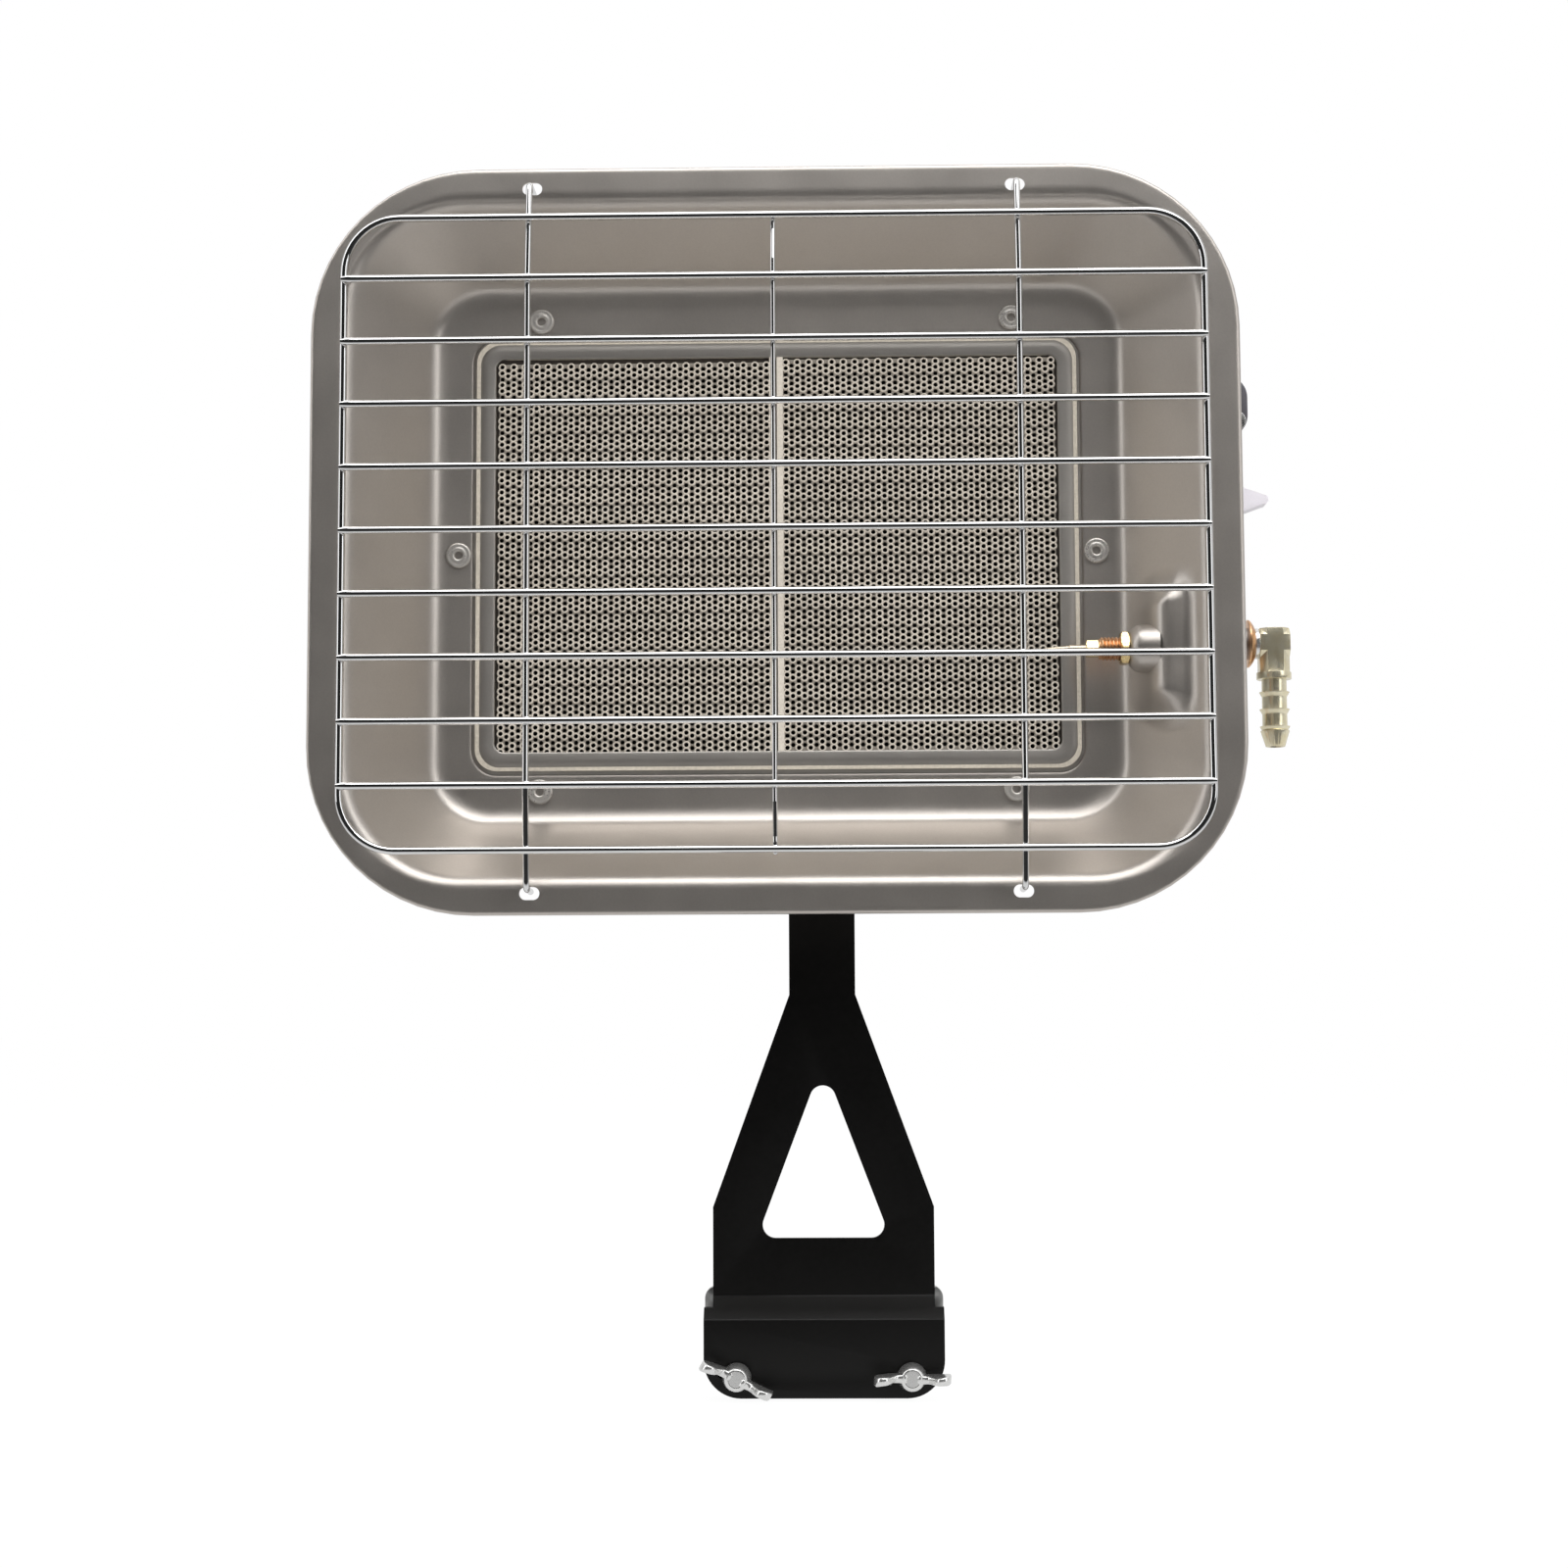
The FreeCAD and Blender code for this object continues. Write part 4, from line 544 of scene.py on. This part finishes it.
for cell, chosen in ((tile_cell, short), (ring_cell, sums(tree, "MULTIPLY", ringed, short))):
    source = wired(tree, "GeometryNodeObjectInfo", {"Object": cell}).outputs["Geometry"]
    cells = {"Points": holes, "Instance": source, "Selection": chosen}
    setting = wired(tree, "GeometryNodeInstanceOnPoints", cells)
    tree.links.new(setting.outputs["Instances"], laid.inputs["Geometry"])
realised(tree, laid.outputs["Geometry"], plaque_clay, result)

# The margin lies 0.5 mm under the sunk face, where the clay's painted shade makes it near black as a painted
# shadow gap.
MARGIN, LAND = SUNK + 0.5, RING_TOP + 0.2
LAND_FOOT, LAND_END = -65.0, 64.6
SLAB_FOOT, SLAB_TOP, SLAB_BACK = -65.6, 65.2, 44.8
SLAB_NEAR, SLAB_FAR = 0.2, 90.6


def slab_round(left, right, hole_left, hole_right, hole_foot, hole_top):
    """The plaque's own body: sides, back and the plain margin round the pierced field."""
    outer = [(left, SLAB_FOOT), (right, SLAB_FOOT), (right, SLAB_TOP), (left, SLAB_TOP)]
    inner = [(hole_left, hole_foot), (hole_right, hole_foot), (hole_right, hole_top), (hole_left, hole_top)]
    loops = ((outer, MARGIN), (inner, MARGIN), (inner, HOLE_DEPTH + 0.2), (outer, SLAB_BACK))
    points = [(x, y, z) for loop, y in loops for x, z in loop]
    faces = [(15, 14, 13, 12)]
    for k in range(4):
        m = (k + 1) % 4
        faces += [(k, m, 4 + m, 4 + k), (4 + k, 4 + m, 8 + m, 8 + k), (k, 12 + k, 12 + m, m)]
    return points, faces


for side, first_column, top_row in ((-1, -88.0, 61.0), (1, 3.1, 61.8)):
    node = "plaque_left" if side < 0 else "plaque_right"
    sizes = {**plaque_sizes, "First column": first_column * MM, "Top row": top_row * MM}
    mesh = grown(tree, node + "_pierced", sizes)
    mesh.transform(Matrix.Translation(HEAD * MM))
    dress(node + "_pierced", mesh, plaque_clay, "head", "burner_ceramic", node, sharp=55)
    hole_low = first_column - COLUMN_PITCH / 2
    hole_high = hole_low + COLUMNS * COLUMN_PITCH
    hole_top = top_row + ROW_PITCH / 2
    hole_end = hole_top - ROWS * ROW_PITCH
    inner, outer = (SLAB_NEAR, SLAB_FAR) if side > 0 else (-SLAB_FAR, -SLAB_NEAR)
    points, faces = slab_round(inner, outer, hole_low, hole_high, hole_end, hole_top)
    # The painted shadow sheet behind the pierced field, at the holes' far ends.
    build(node + "_depth", points[8:12], [(0, 1, 2, 3)], painted_hole_shadow, "head", "burner_ceramic", node)
    for k in range(1, COLUMNS, 2):
        left = hole_low + k * COLUMN_PITCH
        for z in (hole_end, hole_top - ROW_PITCH / 2):
            first = len(points)
            points += [(left, SUNK, z), (left + COLUMN_PITCH, SUNK, z),
                       (left + COLUMN_PITCH, SUNK, z + ROW_PITCH / 2), (left, SUNK, z + ROW_PITCH / 2)]
            faces.append((first, first + 1, first + 2, first + 3))
    edge, land = (inner, hole_low) if side > 0 else (outer, hole_high)
    first = len(points)
    strip = ((edge, SUNK), (edge, LAND), (land, LAND), (land, SUNK))
    points += [(x, y, z) for x, y in strip for z in (LAND_FOOT, LAND_END)]
    faces += [(first + k, first + k + 1, first + k + 3, first + k + 2) for k in (0, 2, 4)]
    build(node + "_body", points, faces, plaque_clay, "head", "burner_ceramic", node)
bpy.data.objects.remove(tile_cell)
bpy.data.objects.remove(ring_cell)


# Burner rivets: six hollow rivets that hold the rim to the box through the pan's floor. Each has a flat
# rolled head with a dark bore, and a set tail behind.
rivet_steel = finish("rivet_steel", (0.66, 0.63, 0.59), 0.7, 0.30, grain=1800.0, mottle=0.05, relief=0.00001,
                     bump=0.1)
rivet_profile = [(2.4, 0.0), (2.4, 1.25), (0.25, 1.35), (0.0, 1.55), (-0.1, 2.0), (0.1, 2.5), (0.25, 2.9),
                 (0.05, 3.3), (0.1, 3.7), (0.45, 3.98), (1.3, 4.0), (1.3, 2.4), (3.6, 2.4), (3.6, 3.2),
                 (6.2, 3.2), (7.1, 2.6), (7.1, 0.0)]
RIVET_SEAT = 30.2
rivet_points, rivet_faces = spun(rivet_profile, 32)
rivet_places = ((-75.5, -76.0), (-75.5, 76.0), (75.5, -76.0), (75.5, 76.0), (-101.8, 0.0), (101.8, 0.0))
points, faces = gathered((moved(rivet_points, (x, RIVET_SEAT, z), "Y"), rivet_faces) for x, z in rivet_places)
build("burner_rivets_set", points, faces, rivet_steel, "head", "zinc_plate", "burner_rivets", sharp=50)


# Wire guard: nine straight rods welded across a bent ring of 2.3 mm bright chromed wire. Two legs and a
# thin stay stand behind them, and the legs hook through slots in the flange.
chrome = finish("bright_chrome", (0.80, 0.80, 0.80), 1.0, 0.05, grain=500.0, mottle=0.03, relief=0.000002,
                bump=0.1, spread=0.02)
WIRE, ROD_Y, RING_Y = 1.15, -13.14, -11.0
RING_HALF_X, RING_HALF_Z, RING_CORNER = 131.3, 97.2, 17.0


def along(path, radius, around=14, closed=False):
    """Round wire along a line of points, with soft ends."""
    path = [Vector(p) for p in path]
    points = []
    side = None
    count = len(path)
    for k, here in enumerate(path):
        before = path[k - 1] if k or closed else here
        after = path[(k + 1) % count] if k + 1 < count or closed else here
        heading = (after - before).normalized()
        if side is None:
            side = heading.orthogonal().normalized()
        side = (side - heading * side.dot(heading)).normalized()
        other = heading.cross(side)
        for j in range(around):
            a = 2 * math.pi * j / around
            points.append(tuple(here + (side * math.cos(a) + other * math.sin(a)) * radius))
    faces = banded(count, around, closed)
    if not closed:
        last = (count - 1) * around
        for first, here, heading in ((0, path[0], path[0] - path[1]), (last, path[-1], path[-1] - path[-2])):
            loop = list(range(first, first + around))
            heading.normalize()
            for shrink, out in ((0.86, 0.5), (0.5, 0.87)):
                start = len(points)
                for i in range(around):
                    rim_point = Vector(points[first + i]) - here
                    points.append(tuple(here + rim_point * shrink + heading * radius * out))
                faces += [(loop[i], loop[(i + 1) % around], start + (i + 1) % around, start + i)
                          for i in range(around)]
                loop = list(range(start, start + around))
            faces.append(tuple(loop))
    return points, faces


def bent(corners, radius, steps=8):
    """A line through corners, each turned with an arc of this radius."""
    corners = [Vector(p) for p in corners]
    line = [corners[0]]
    for before, here, after in zip(corners, corners[1:], corners[2:]):
        into, leave = (here - before).normalized(), (after - here).normalized()
        cut = radius * math.tan(into.angle(leave) / 2)
        line += rounded(here - into * cut, here, here + leave * cut, steps)
    return line + [corners[-1]]


ring_line = outline(RING_HALF_X, RING_HALF_Z, RING_CORNER, RING_Y, (0.1, 0.3, 0.5, 0.7, 0.9))
points, faces = along(ring_line, WIRE, 20, closed=True)
build("guard_ring_wire", points, faces, chrome, "head", "chrome_wire", "guard_frame", sharp=60)

NUB_LENGTH = 2.2
rod_sizes = {"Rods": 9, "Pitch": 19.44 * MM, "Wire": WIRE * MM, "Reach": 131.9 * MM, "Nub": 0.75 * MM}
tree, given, result = node_group("guard_rods", rod_sizes)
size = given.outputs
rod_ends = {}
for label, sign in (("Start", -1.0), ("End", 1.0)):
    reach = sums(tree, "MULTIPLY", size["Reach"], sign)
    rod_ends[label] = wired(tree, "ShaderNodeCombineXYZ", {"X": reach}).outputs["Vector"]
straight = wired(tree, "GeometryNodeCurvePrimitiveLine", rod_ends).outputs["Curve"]
fine_line = wired(tree, "GeometryNodeResampleCurve", {"Curve": straight, "Count": 161}).outputs["Curve"]
share_along = tree.nodes.new("GeometryNodeSplineParameter").outputs["Factor"]
from_end = sums(tree, "MINIMUM", share_along, sums(tree, "SUBTRACT", 1.0, share_along))
distance = sums(tree, "MULTIPLY", from_end, sums(tree, "MULTIPLY", size["Reach"], 2.0))
past_nub = sums(tree, "MINIMUM", sums(tree, "DIVIDE", distance, NUB_LENGTH * MM), 1.0)
near_end = sums(tree, "SUBTRACT", 1.0, past_nub)
swell = sums(tree, "MULTIPLY", near_end, sums(tree, "SUBTRACT", size["Nub"], size["Wire"]))
thickness = {"Curve": fine_line, "Radius": sums(tree, "ADD", size["Wire"], swell)}
thick = wired(tree, "GeometryNodeSetCurveRadius", thickness).outputs["Curve"]
section = wired(tree, "GeometryNodeCurvePrimitiveCircle", {"Resolution": 20, "Radius": 1.0}).outputs["Curve"]
radius_of = tree.nodes.new("GeometryNodeInputRadius").outputs["Radius"]
drawn_out = {"Curve": thick, "Profile Curve": section, "Scale": radius_of, "Fill Caps": True}
rod = wired(tree, "GeometryNodeCurveToMesh", drawn_out).outputs["Mesh"]
half_count = sums(tree, "MULTIPLY", sums(tree, "SUBTRACT", size["Rods"], 1.0), -0.5)
low = wired(tree, "ShaderNodeCombineXYZ", {"Z": sums(tree, "MULTIPLY", half_count, size["Pitch"])})
step_up = wired(tree, "ShaderNodeCombineXYZ", {"Z": size["Pitch"]})
rungs = {"Count": size["Rods"], "Start Location": low.outputs["Vector"], "Offset": step_up.outputs["Vector"]}
ladder = wired(tree, "GeometryNodeMeshLine", rungs).outputs["Mesh"]
setting = wired(tree, "GeometryNodeInstanceOnPoints", {"Points": ladder, "Instance": rod})
realised(tree, setting.outputs["Instances"], chrome, result)
mesh = grown(tree, "guard_rod_wires", rod_sizes)
mesh.transform(Matrix.Translation((HEAD + Vector((0, ROD_Y, 0))) * MM))
dress("guard_rod_wires", mesh, chrome, "head", "chrome_wire", "guard_rods", sharp=60)

LEG_X = 75.0
leg_half = [(-11.1, 77.8), (-9.0, 96.2), (-7.5, 108.7), (3.4, 109.0)]
leg_line = [(y, -z) for y, z in reversed(leg_half)] + leg_half
points, faces = gathered(along(bent([(x, y, z) for y, z in leg_line], 2.6), 1.0, 16) for x in (-LEG_X, LEG_X))
build("guard_leg_wires", points, faces, chrome, "head", "chrome_wire", "guard_legs", sharp=60)
stay_half = [(-11.3, 83.2), (-9.2, 93.2), (-9.2, 98.2)]
stay_line = [(0, y, -z) for y, z in reversed(stay_half)] + [(0, y, z) for y, z in stay_half]
points, faces = along(bent(stay_line, 4.0), 0.8)
build("guard_stay_wire", points, faces, chrome, "head", "chrome_wire", "guard_stay", sharp=60)


# Thermocouple: a threaded copper tube with a small brass hexagon and a tapering probe that reaches into
# the flame. Two brass nuts lock it through the pocket's side.
copper = finish("copper", (0.70, 0.38, 0.20), 1.0, 0.32, grain=1500.0, mottle=0.12, tint=(0.84, 0.54, 0.32))
brass = finish("brass", (0.76, 0.56, 0.26), 1.0, 0.24, grain=1500.0, mottle=0.12, tint=(0.86, 0.70, 0.40))
probe_steel = finish("probe_tip", (0.70, 0.58, 0.40), 1.0, 0.30, grain=1500.0, mottle=0.12,
                     tint=(0.80, 0.72, 0.60))


def threaded(length, radius, pitch, depth, around=40, per_turn=7):
    """A screw thread about +X, its ends run down to the core."""
    points = []
    count = int(length / pitch * per_turn) + 1
    for k in range(count + 1):
        along_x = length * k / count
        fade = min(1.0, along_x / (pitch * 0.7), (length - along_x) / (pitch * 0.7))
        for j in range(around):
            a = 2 * math.pi * j / around
            wave = (along_x / pitch - j / around) % 1.0
            ridge = 1.0 - abs(2.0 * wave - 1.0)
            r = radius - depth + depth * fade * min(1.0, ridge * 1.35)
            points.append((along_x, r * math.cos(a), r * math.sin(a)))
    ends = [tuple(range(around)), tuple(reversed(range(count * around, (count + 1) * around)))]
    return points, banded(count + 1, around, turned_in=False) + ends


def hex_nut(flats, thick, bore, chamfer=0.5, around=72):
    """A chamfered hexagon about +X, from 0 to its thickness, with a bore."""
    points = []
    steps_in = (0.0, 0.12, 0.3, 0.6, chamfer + 0.35)
    profile = [(0.0, None)] + [(x, x) for x in steps_in]
    profile += [(thick - x, x) for x in reversed(steps_in)] + [(thick, None)]
    for x, depth in profile:
        for j in range(around):
            a = 2 * math.pi * j / around
            hexagonal = flats / 2 / math.cos((a % (math.pi / 3)) - math.pi / 6)
            r = bore if depth is None else min(hexagonal, flats / 2 * 0.985 + depth * 1.75)
            points.append((x, r * math.cos(a), r * math.sin(a)))
    return points, banded(len(profile), around, closed=True, turned_in=False)


def on_probe_line(name, shape, x, material, slot, node, sharp=35.0):
    """Builds a shape made about +X on the thermocouple's own axis."""
    points, faces = shape
    build(name, moved(points, (x, PROBE_Y, PROBE_Z)), faces, material, "head", slot, node, sharp=sharp)


on_probe_line("thermocouple_thread", threaded(20.7, 3.7, 1.13, 0.62), 100.2, copper, "copper", "thermocouple")
on_probe_line("thermocouple_hexagon", hex_nut(5.0, 4.0, 0.9, 0.3), 96.2, brass, "brass", "thermocouple", 25)
probe_profile = [(0.0, 0.0), (0.15, 0.3), (0.6, 0.42), (2.4, 0.62), (5.2, 0.92), (7.4, 1.1), (8.0, 1.15),
                 (8.2, 1.3), (13.6, 1.3), (13.6, 0.0)]
on_probe_line("thermocouple_probe", spun(probe_profile, 28), 83.0, probe_steel, "copper", "thermocouple")
for node, x in (("thermocouple_nut_front", 106.7), ("thermocouple_nut_rear", 113.3)):
    on_probe_line(node + "_hexagon", hex_nut(9.6, 2.8, 3.6), x, brass, "brass", node, 25)
LEAD_END = (133.0, 52.5, -55.0)
lead_line = bent([(121.0, 14.5, -34), (130.0, 14.5, -34), (131.0, 34.5, -48), (133.0, 44.5, -70),
                  (133.0, 52.5, -68), LEAD_END], 5.0)
points, faces = along(lead_line, 1.2, 18)
build("thermocouple_capillary", points, faces, copper, "head", "copper", "thermocouple_lead", sharp=60)
points, faces = hex_nut(8.0, 9.0, 1.2)
build("lead_nut_hexagon", moved(points, LEAD_END, "Z"), faces, brass, "head", "brass", "lead_nut", sharp=25)


# Gas inlet: a coppery domed washer and a bright ring close the valve's stub, and a forged brass elbow
# with yellow-passivated zinc turns down into a hose barb. An arrow on its face shows the gas's way in.
INLET_Y, INLET_Z, BARB_X = 52.5, -27.3, 160.9
passivated = finish("yellow_zinc", (0.80, 0.71, 0.47), 0.8, 0.24, grain=300.0, mottle=0.03, relief=0.000001,
                    bump=0.02, spread=0.03, tint=(0.86, 0.82, 0.66))
bright_zinc = finish("bright_zinc", (0.82, 0.82, 0.81), 0.85, 0.2, grain=1200.0, mottle=0.04, relief=0.000006,
                     bump=0.15, spread=0.04)
washer_profile = [(0.0, 4.05), (0.0, 7.5), (0.25, 7.8), (0.7, 7.75), (1.25, 7.2), (1.75, 6.5), (2.1, 5.9),
                  (2.3, 5.4), (2.3, 4.05)]
points, faces = spun(washer_profile, 56, closed=True)
points = moved(points, (152.2, INLET_Y, INLET_Z))
build("inlet_dome_washer", points, faces, copper, "head", "copper", "inlet_washer")
ring_profile = [(0.0, 4.05), (0.0, 4.7), (0.25, 4.95), (0.8, 5.0), (1.35, 4.95), (1.6, 4.7), (1.6, 4.05)]
points, faces = spun(ring_profile, closed=True)
points = moved(points, (154.5, INLET_Y, INLET_Z))
build("inlet_bright_ring", points, faces, bright_zinc, "head", "zinc_plate", "inlet_ring")


def softened(node, name, material, body, slot, width=0.4, segments=2, weights=None, sharp=35.0, limit=28.0):
    """A copy of a node's solid with its edges broken, as deburring or a mould's radius leaves them."""
    mesh = nodes[node].data.copy()
    cast = bmesh.new()
    cast.from_mesh(mesh)
    bmesh.ops.remove_doubles(cast, verts=cast.verts, dist=1e-6)
    bmesh.ops.dissolve_limit(cast, angle_limit=math.radians(0.6), verts=cast.verts, edges=cast.edges)
    if weights:
        layer = cast.edges.layers.float.new("bevel_weight_edge")
        for edge in cast.edges:
            if len(edge.link_faces) == 2 and edge.calc_face_angle(0.0) > math.radians(limit):
                edge[layer] = weights(edge)
    cast.to_mesh(mesh)
    cast.free()
    blank = placed(name + "_blank", mesh)
    edge_break = blank.modifiers.new("edge", "BEVEL")
    edge_break.width = width * MM
    edge_break.segments = segments
    edge_break.limit_method = "WEIGHT" if weights else "ANGLE"
    edge_break.angle_limit = math.radians(limit)
    edge_break.use_clamp_overlap = True
    return dress(name, settled(blank, name), material, body, slot, node, sharp=sharp)


softened("inlet_elbow", "inlet_elbow_forged", passivated, "head", "yellow_zinc", 0.28, 2, sharp=28)
arrow_points = [(-0.35, 0.0), (-0.35, 4.6), (-1.5, 4.6), (0.0, 7.6), (1.5, 4.6), (0.35, 4.6), (0.35, 0.0)]
ARROW_X, ARROW_Y, ARROW_Z = BARB_X + 0.9, INLET_Y - 4.8, -36.0
points = [(ARROW_X + u, ARROW_Y + rise, ARROW_Z + w) for rise in (-0.14, 0.1) for u, w in arrow_points]
n = len(arrow_points)
faces = [tuple(range(n)), tuple(reversed(range(n, 2 * n)))] + banded(2, n)
build("flow_arrow", points, faces, passivated, "head", "yellow_zinc", sharp=20)


# Mounting bracket: 2.5 mm steel, folded at the neck for the tilt ear and joggled at the foot to make the
# front jaw, then painted satin black. A round-cornered triangle is cut out of its flare.
paint = finish("black_paint", (0.0032, 0.003, 0.0028), 0.0, 0.36, grain=1100.0, mottle=0.15, relief=0.00005,
               bump=0.35, spread=0.06)
paint.node_tree.nodes["Principled BSDF"].inputs["Specular IOR Level"].default_value = 0.22


def bracket_edges(edge):
    """A wide round on the long folds of the joggle, and a thin one on every other edge."""
    a, b = edge.verts[0].co / MM, edge.verts[1].co / MM
    lengthwise = abs(a.x - b.x) > 20 and abs(a.z - b.z) < 0.01
    return 1.0 if lengthwise and min(a.z, b.z) > 6 and max(a.z, b.z) < 20 else 0.22


softened("mounting_bracket", "mounting_bracket_folded", paint, "bracket", "black_paint", 2.2, 4,
         weights=bracket_edges, sharp=40)


# Rear jaw: a galvanised strap with bare steel at its edges, pulled towards the bracket by two bolts. It
# and the bracket's foot grip the cylinder's collar between them.
galvanised = finish("galvanised", (0.60, 0.60, 0.59), 1.0, 0.38, grain=420.0, mottle=0.16, spread=0.1)
softened("rear_jaw", "rear_jaw_strap", galvanised, "jaw", "galvanised", 0.4, 2, sharp=40)
plate_zinc = finish("zinc_plate", (0.70, 0.70, 0.69), 1.0, 0.25, grain=900.0, mottle=0.08, spread=0.07)
softened("clamp_bolts", "clamp_bolts_plated", plate_zinc, "jaw", "zinc_plate", 0.15, 1, sharp=40)


# Wing nuts: hot-forged zinc-plated nuts with two rounded ears each, one on either clamp bolt and a larger
# one on the tilt bolt. The ears are thickest at the root and the rim, and bend a little out of line.
def ear(side, hub, span, height, thick):
    """One ear as a soft pillow in the X-Z plane, from the hub's flank out to its rounded rim."""
    out = span / 2
    corners = [(hub * 0.35, 0.7), (hub * 0.98, 0.5), (out * 0.72, height * 0.16), (out * 0.97, height * 0.42),
               (out, height * 0.72), (out * 0.9, height * 0.97), (out * 0.68, height),
               (out * 0.55, height * 0.82), (hub * 1.05, height * 0.56), (hub * 0.35, height * 0.56)]
    rim_line = []
    count = len(corners)
    for k in range(count):
        near = [corners[(k + i) % count] for i in (-1, 0, 1, 2)]
        near = [Vector((x, 0, z)) for x, z in near]
        rim_line += [curved(*near, i / 4) for i in range(4)]
    total = len(rim_line)
    points = []
    loops = [(0.9, -0.5), (0.3, -0.47), (0.0, -0.34), (0.0, 0.34), (0.3, 0.47), (0.9, 0.5)]
    for inset, level in loops:
        for k, p in enumerate(rim_line):
            tangent = (rim_line[(k + 1) % total] - rim_line[k - 1]).normalized()
            q = p + Vector((-tangent.z, 0, tangent.x)) * inset
            share_out = min(1.0, max(0.0, q.x / out))
            swell = thick * (0.82 + 0.45 * (1.0 - share_out) ** 3 + 0.38 * share_out ** 4)
            points.append((side * q.x, level * swell + side * 1.3 * share_out ** 2, q.z))
    ends = [tuple(reversed(range(total))), tuple(range((len(loops) - 1) * total, len(loops) * total))]
    return points, banded(len(loops), total) + ends


def winged(hub, hub_height, bore, span, height):
    """A wing nut standing on its seat, its axis up and its ears along X."""
    profile = [(0.0, bore + 0.1), (0.0, hub - 0.5), (0.35, hub), (1.0, hub + 0.05),
               (hub_height * 0.55, hub * 0.9), (hub_height - 0.7, hub * 0.8),
               (hub_height - 0.15, hub * 0.72), (hub_height, hub * 0.66), (hub_height, bore + 0.1)]
    points, faces = spun(profile, 40, closed=True)
    ears = [ear(side, hub, span, height, 2.8) for side in (-1, 1)]
    return gathered([(moved(points, (0, 0, 0), "Z"), faces)] + ears)


def stood(points, centre, *turns):
    """Points turned about the named axes, the last turn first, and carried to a centre."""
    stance = Matrix.Translation(centre)
    for degrees, axis in turns:
        stance = stance @ Matrix.Rotation(math.radians(degrees), 4, axis)
    return [tuple(stance @ Vector(p)) for p in points]


nut_points, nut_faces = winged(4.6, 7.0, 2.5, 24.0, 12.0)
for side, x, angle in (("left", -27.8, 30.0), ("right", 27.8, 5.0)):
    points = stood(nut_points, (x, -2.8, -9.4), (angle, "Y"), (90, "X"))
    build("clamp_wing_" + side, points, nut_faces, bright_zinc, "nut_" + side, "zinc_plate",
          "clamp_nut_" + side, sharp=50)
nut_points, nut_faces = winged(5.4, 8.0, 3.0, 27.6, 14.0)
points = stood(nut_points, (-12.3, 20.0, 157.0), (-90, "Y"), (90, "Z"))
build("tilt_wing", points, nut_faces, bright_zinc, "tilt_nut", "zinc_plate", "tilt_wing_nut", sharp=50)
softened("tilt_bolt", "tilt_bolt_plated", plate_zinc, "bracket", "zinc_plate", 0.15, 1, sharp=40)
softened("tilt_washer", "tilt_washer_plated", plate_zinc, "bracket", "zinc_plate", 0.2, 2, sharp=40)


# Burner box and its bracket: a drawn steel tray behind the pan that holds the gas under the plaques, with
# the folded ear that hangs down to the tilt bolt. Both are aluminised sheet.
aluminised = finish("aluminised_sheet", (0.56, 0.56, 0.55), 1.0, 0.42, grain=700.0, mottle=0.12, spread=0.08,
                    relief=0.00004)
softened("burner_box", "burner_box_drawn", aluminised, "head", "galvanised", 0.7, 3, sharp=40)
softened("head_bracket", "head_bracket_folded", aluminised, "head", "galvanised", 0.4, 2, sharp=40)
softened("head_screws", "head_screws_plated", plate_zinc, "head", "zinc_plate", 0.3, 2, sharp=40)
softened("mixing_tube", "mixing_tube_flared", aluminised, "head", "galvanised", 0.3, 2, sharp=40)


# Valve: a die-cast body on a folded plate, with its brass injector aimed at the mixing tube, a spindle
# and its nut, a pale lever knob and the red button that holds the gas open until the flame is hot.
cast_metal = finish("die_cast", (0.52, 0.52, 0.53), 1.0, 0.46, grain=1300.0, mottle=0.1, relief=0.00008,
                    bump=0.4, spread=0.07)
dark_sheet = finish("dark_plate", (0.12, 0.115, 0.13), 0.6, 0.45, grain=1300.0, mottle=0.12, spread=0.06)
pale_plastic = finish("pale_lever", (0.78, 0.75, 0.80), 0.0, 0.38, grain=1500.0, mottle=0.03)
red_plastic = finish("red_button", (0.55, 0.03, 0.025), 0.0, 0.3, grain=1500.0, mottle=0.08)
softened("valve_body", "valve_body_cast", cast_metal, "head", "die_cast", 0.6, 3, sharp=40)
softened("valve_plate", "valve_plate_folded", dark_sheet, "head", "dark_plate", 0.4, 2, sharp=40)
softened("lug_screw", "lug_screw_plated", plate_zinc, "head", "zinc_plate", 0.25, 2, sharp=40)
softened("injector_jet", "injector_jet_turned", brass, "head", "brass", 0.2, 2, sharp=30)
softened("spindle", "spindle_turned", brass, "knob", "brass", 0.3, 2, sharp=40)
points, faces = hex_nut(13.0, 4.0, 3.05)
points = moved(points, (133.0, 65.5, 24.0), "Y")
build("spindle_nut_hexagon", points, faces, brass, "head", "brass", "spindle_nut", sharp=25)
softened("control_knob", "control_knob_moulded", pale_plastic, "knob", "light_plastic", 1.1, 4, sharp=45)
softened("safety_button", "safety_button_moulded", red_plastic, "button", "red_plastic", 0.5, 3, sharp=45)


# Hidden pieces keep their solids: the fibre gasket round the plaques, the distributor screen in the box
# and the return spring behind the button. They are only given a material here.
fibre = finish("gasket_fibre", (0.55, 0.50, 0.42), 0.0, 0.9, grain=900.0, mottle=0.15, relief=0.0001,
               bump=0.5)
hidden = {"plaque_gasket": fibre, "distributor_screen": aluminised, "button_spring": plate_zinc}
for node, material in hidden.items():
    mesh = nodes[node].data
    mesh.materials.clear()
    mesh.materials.append(material)
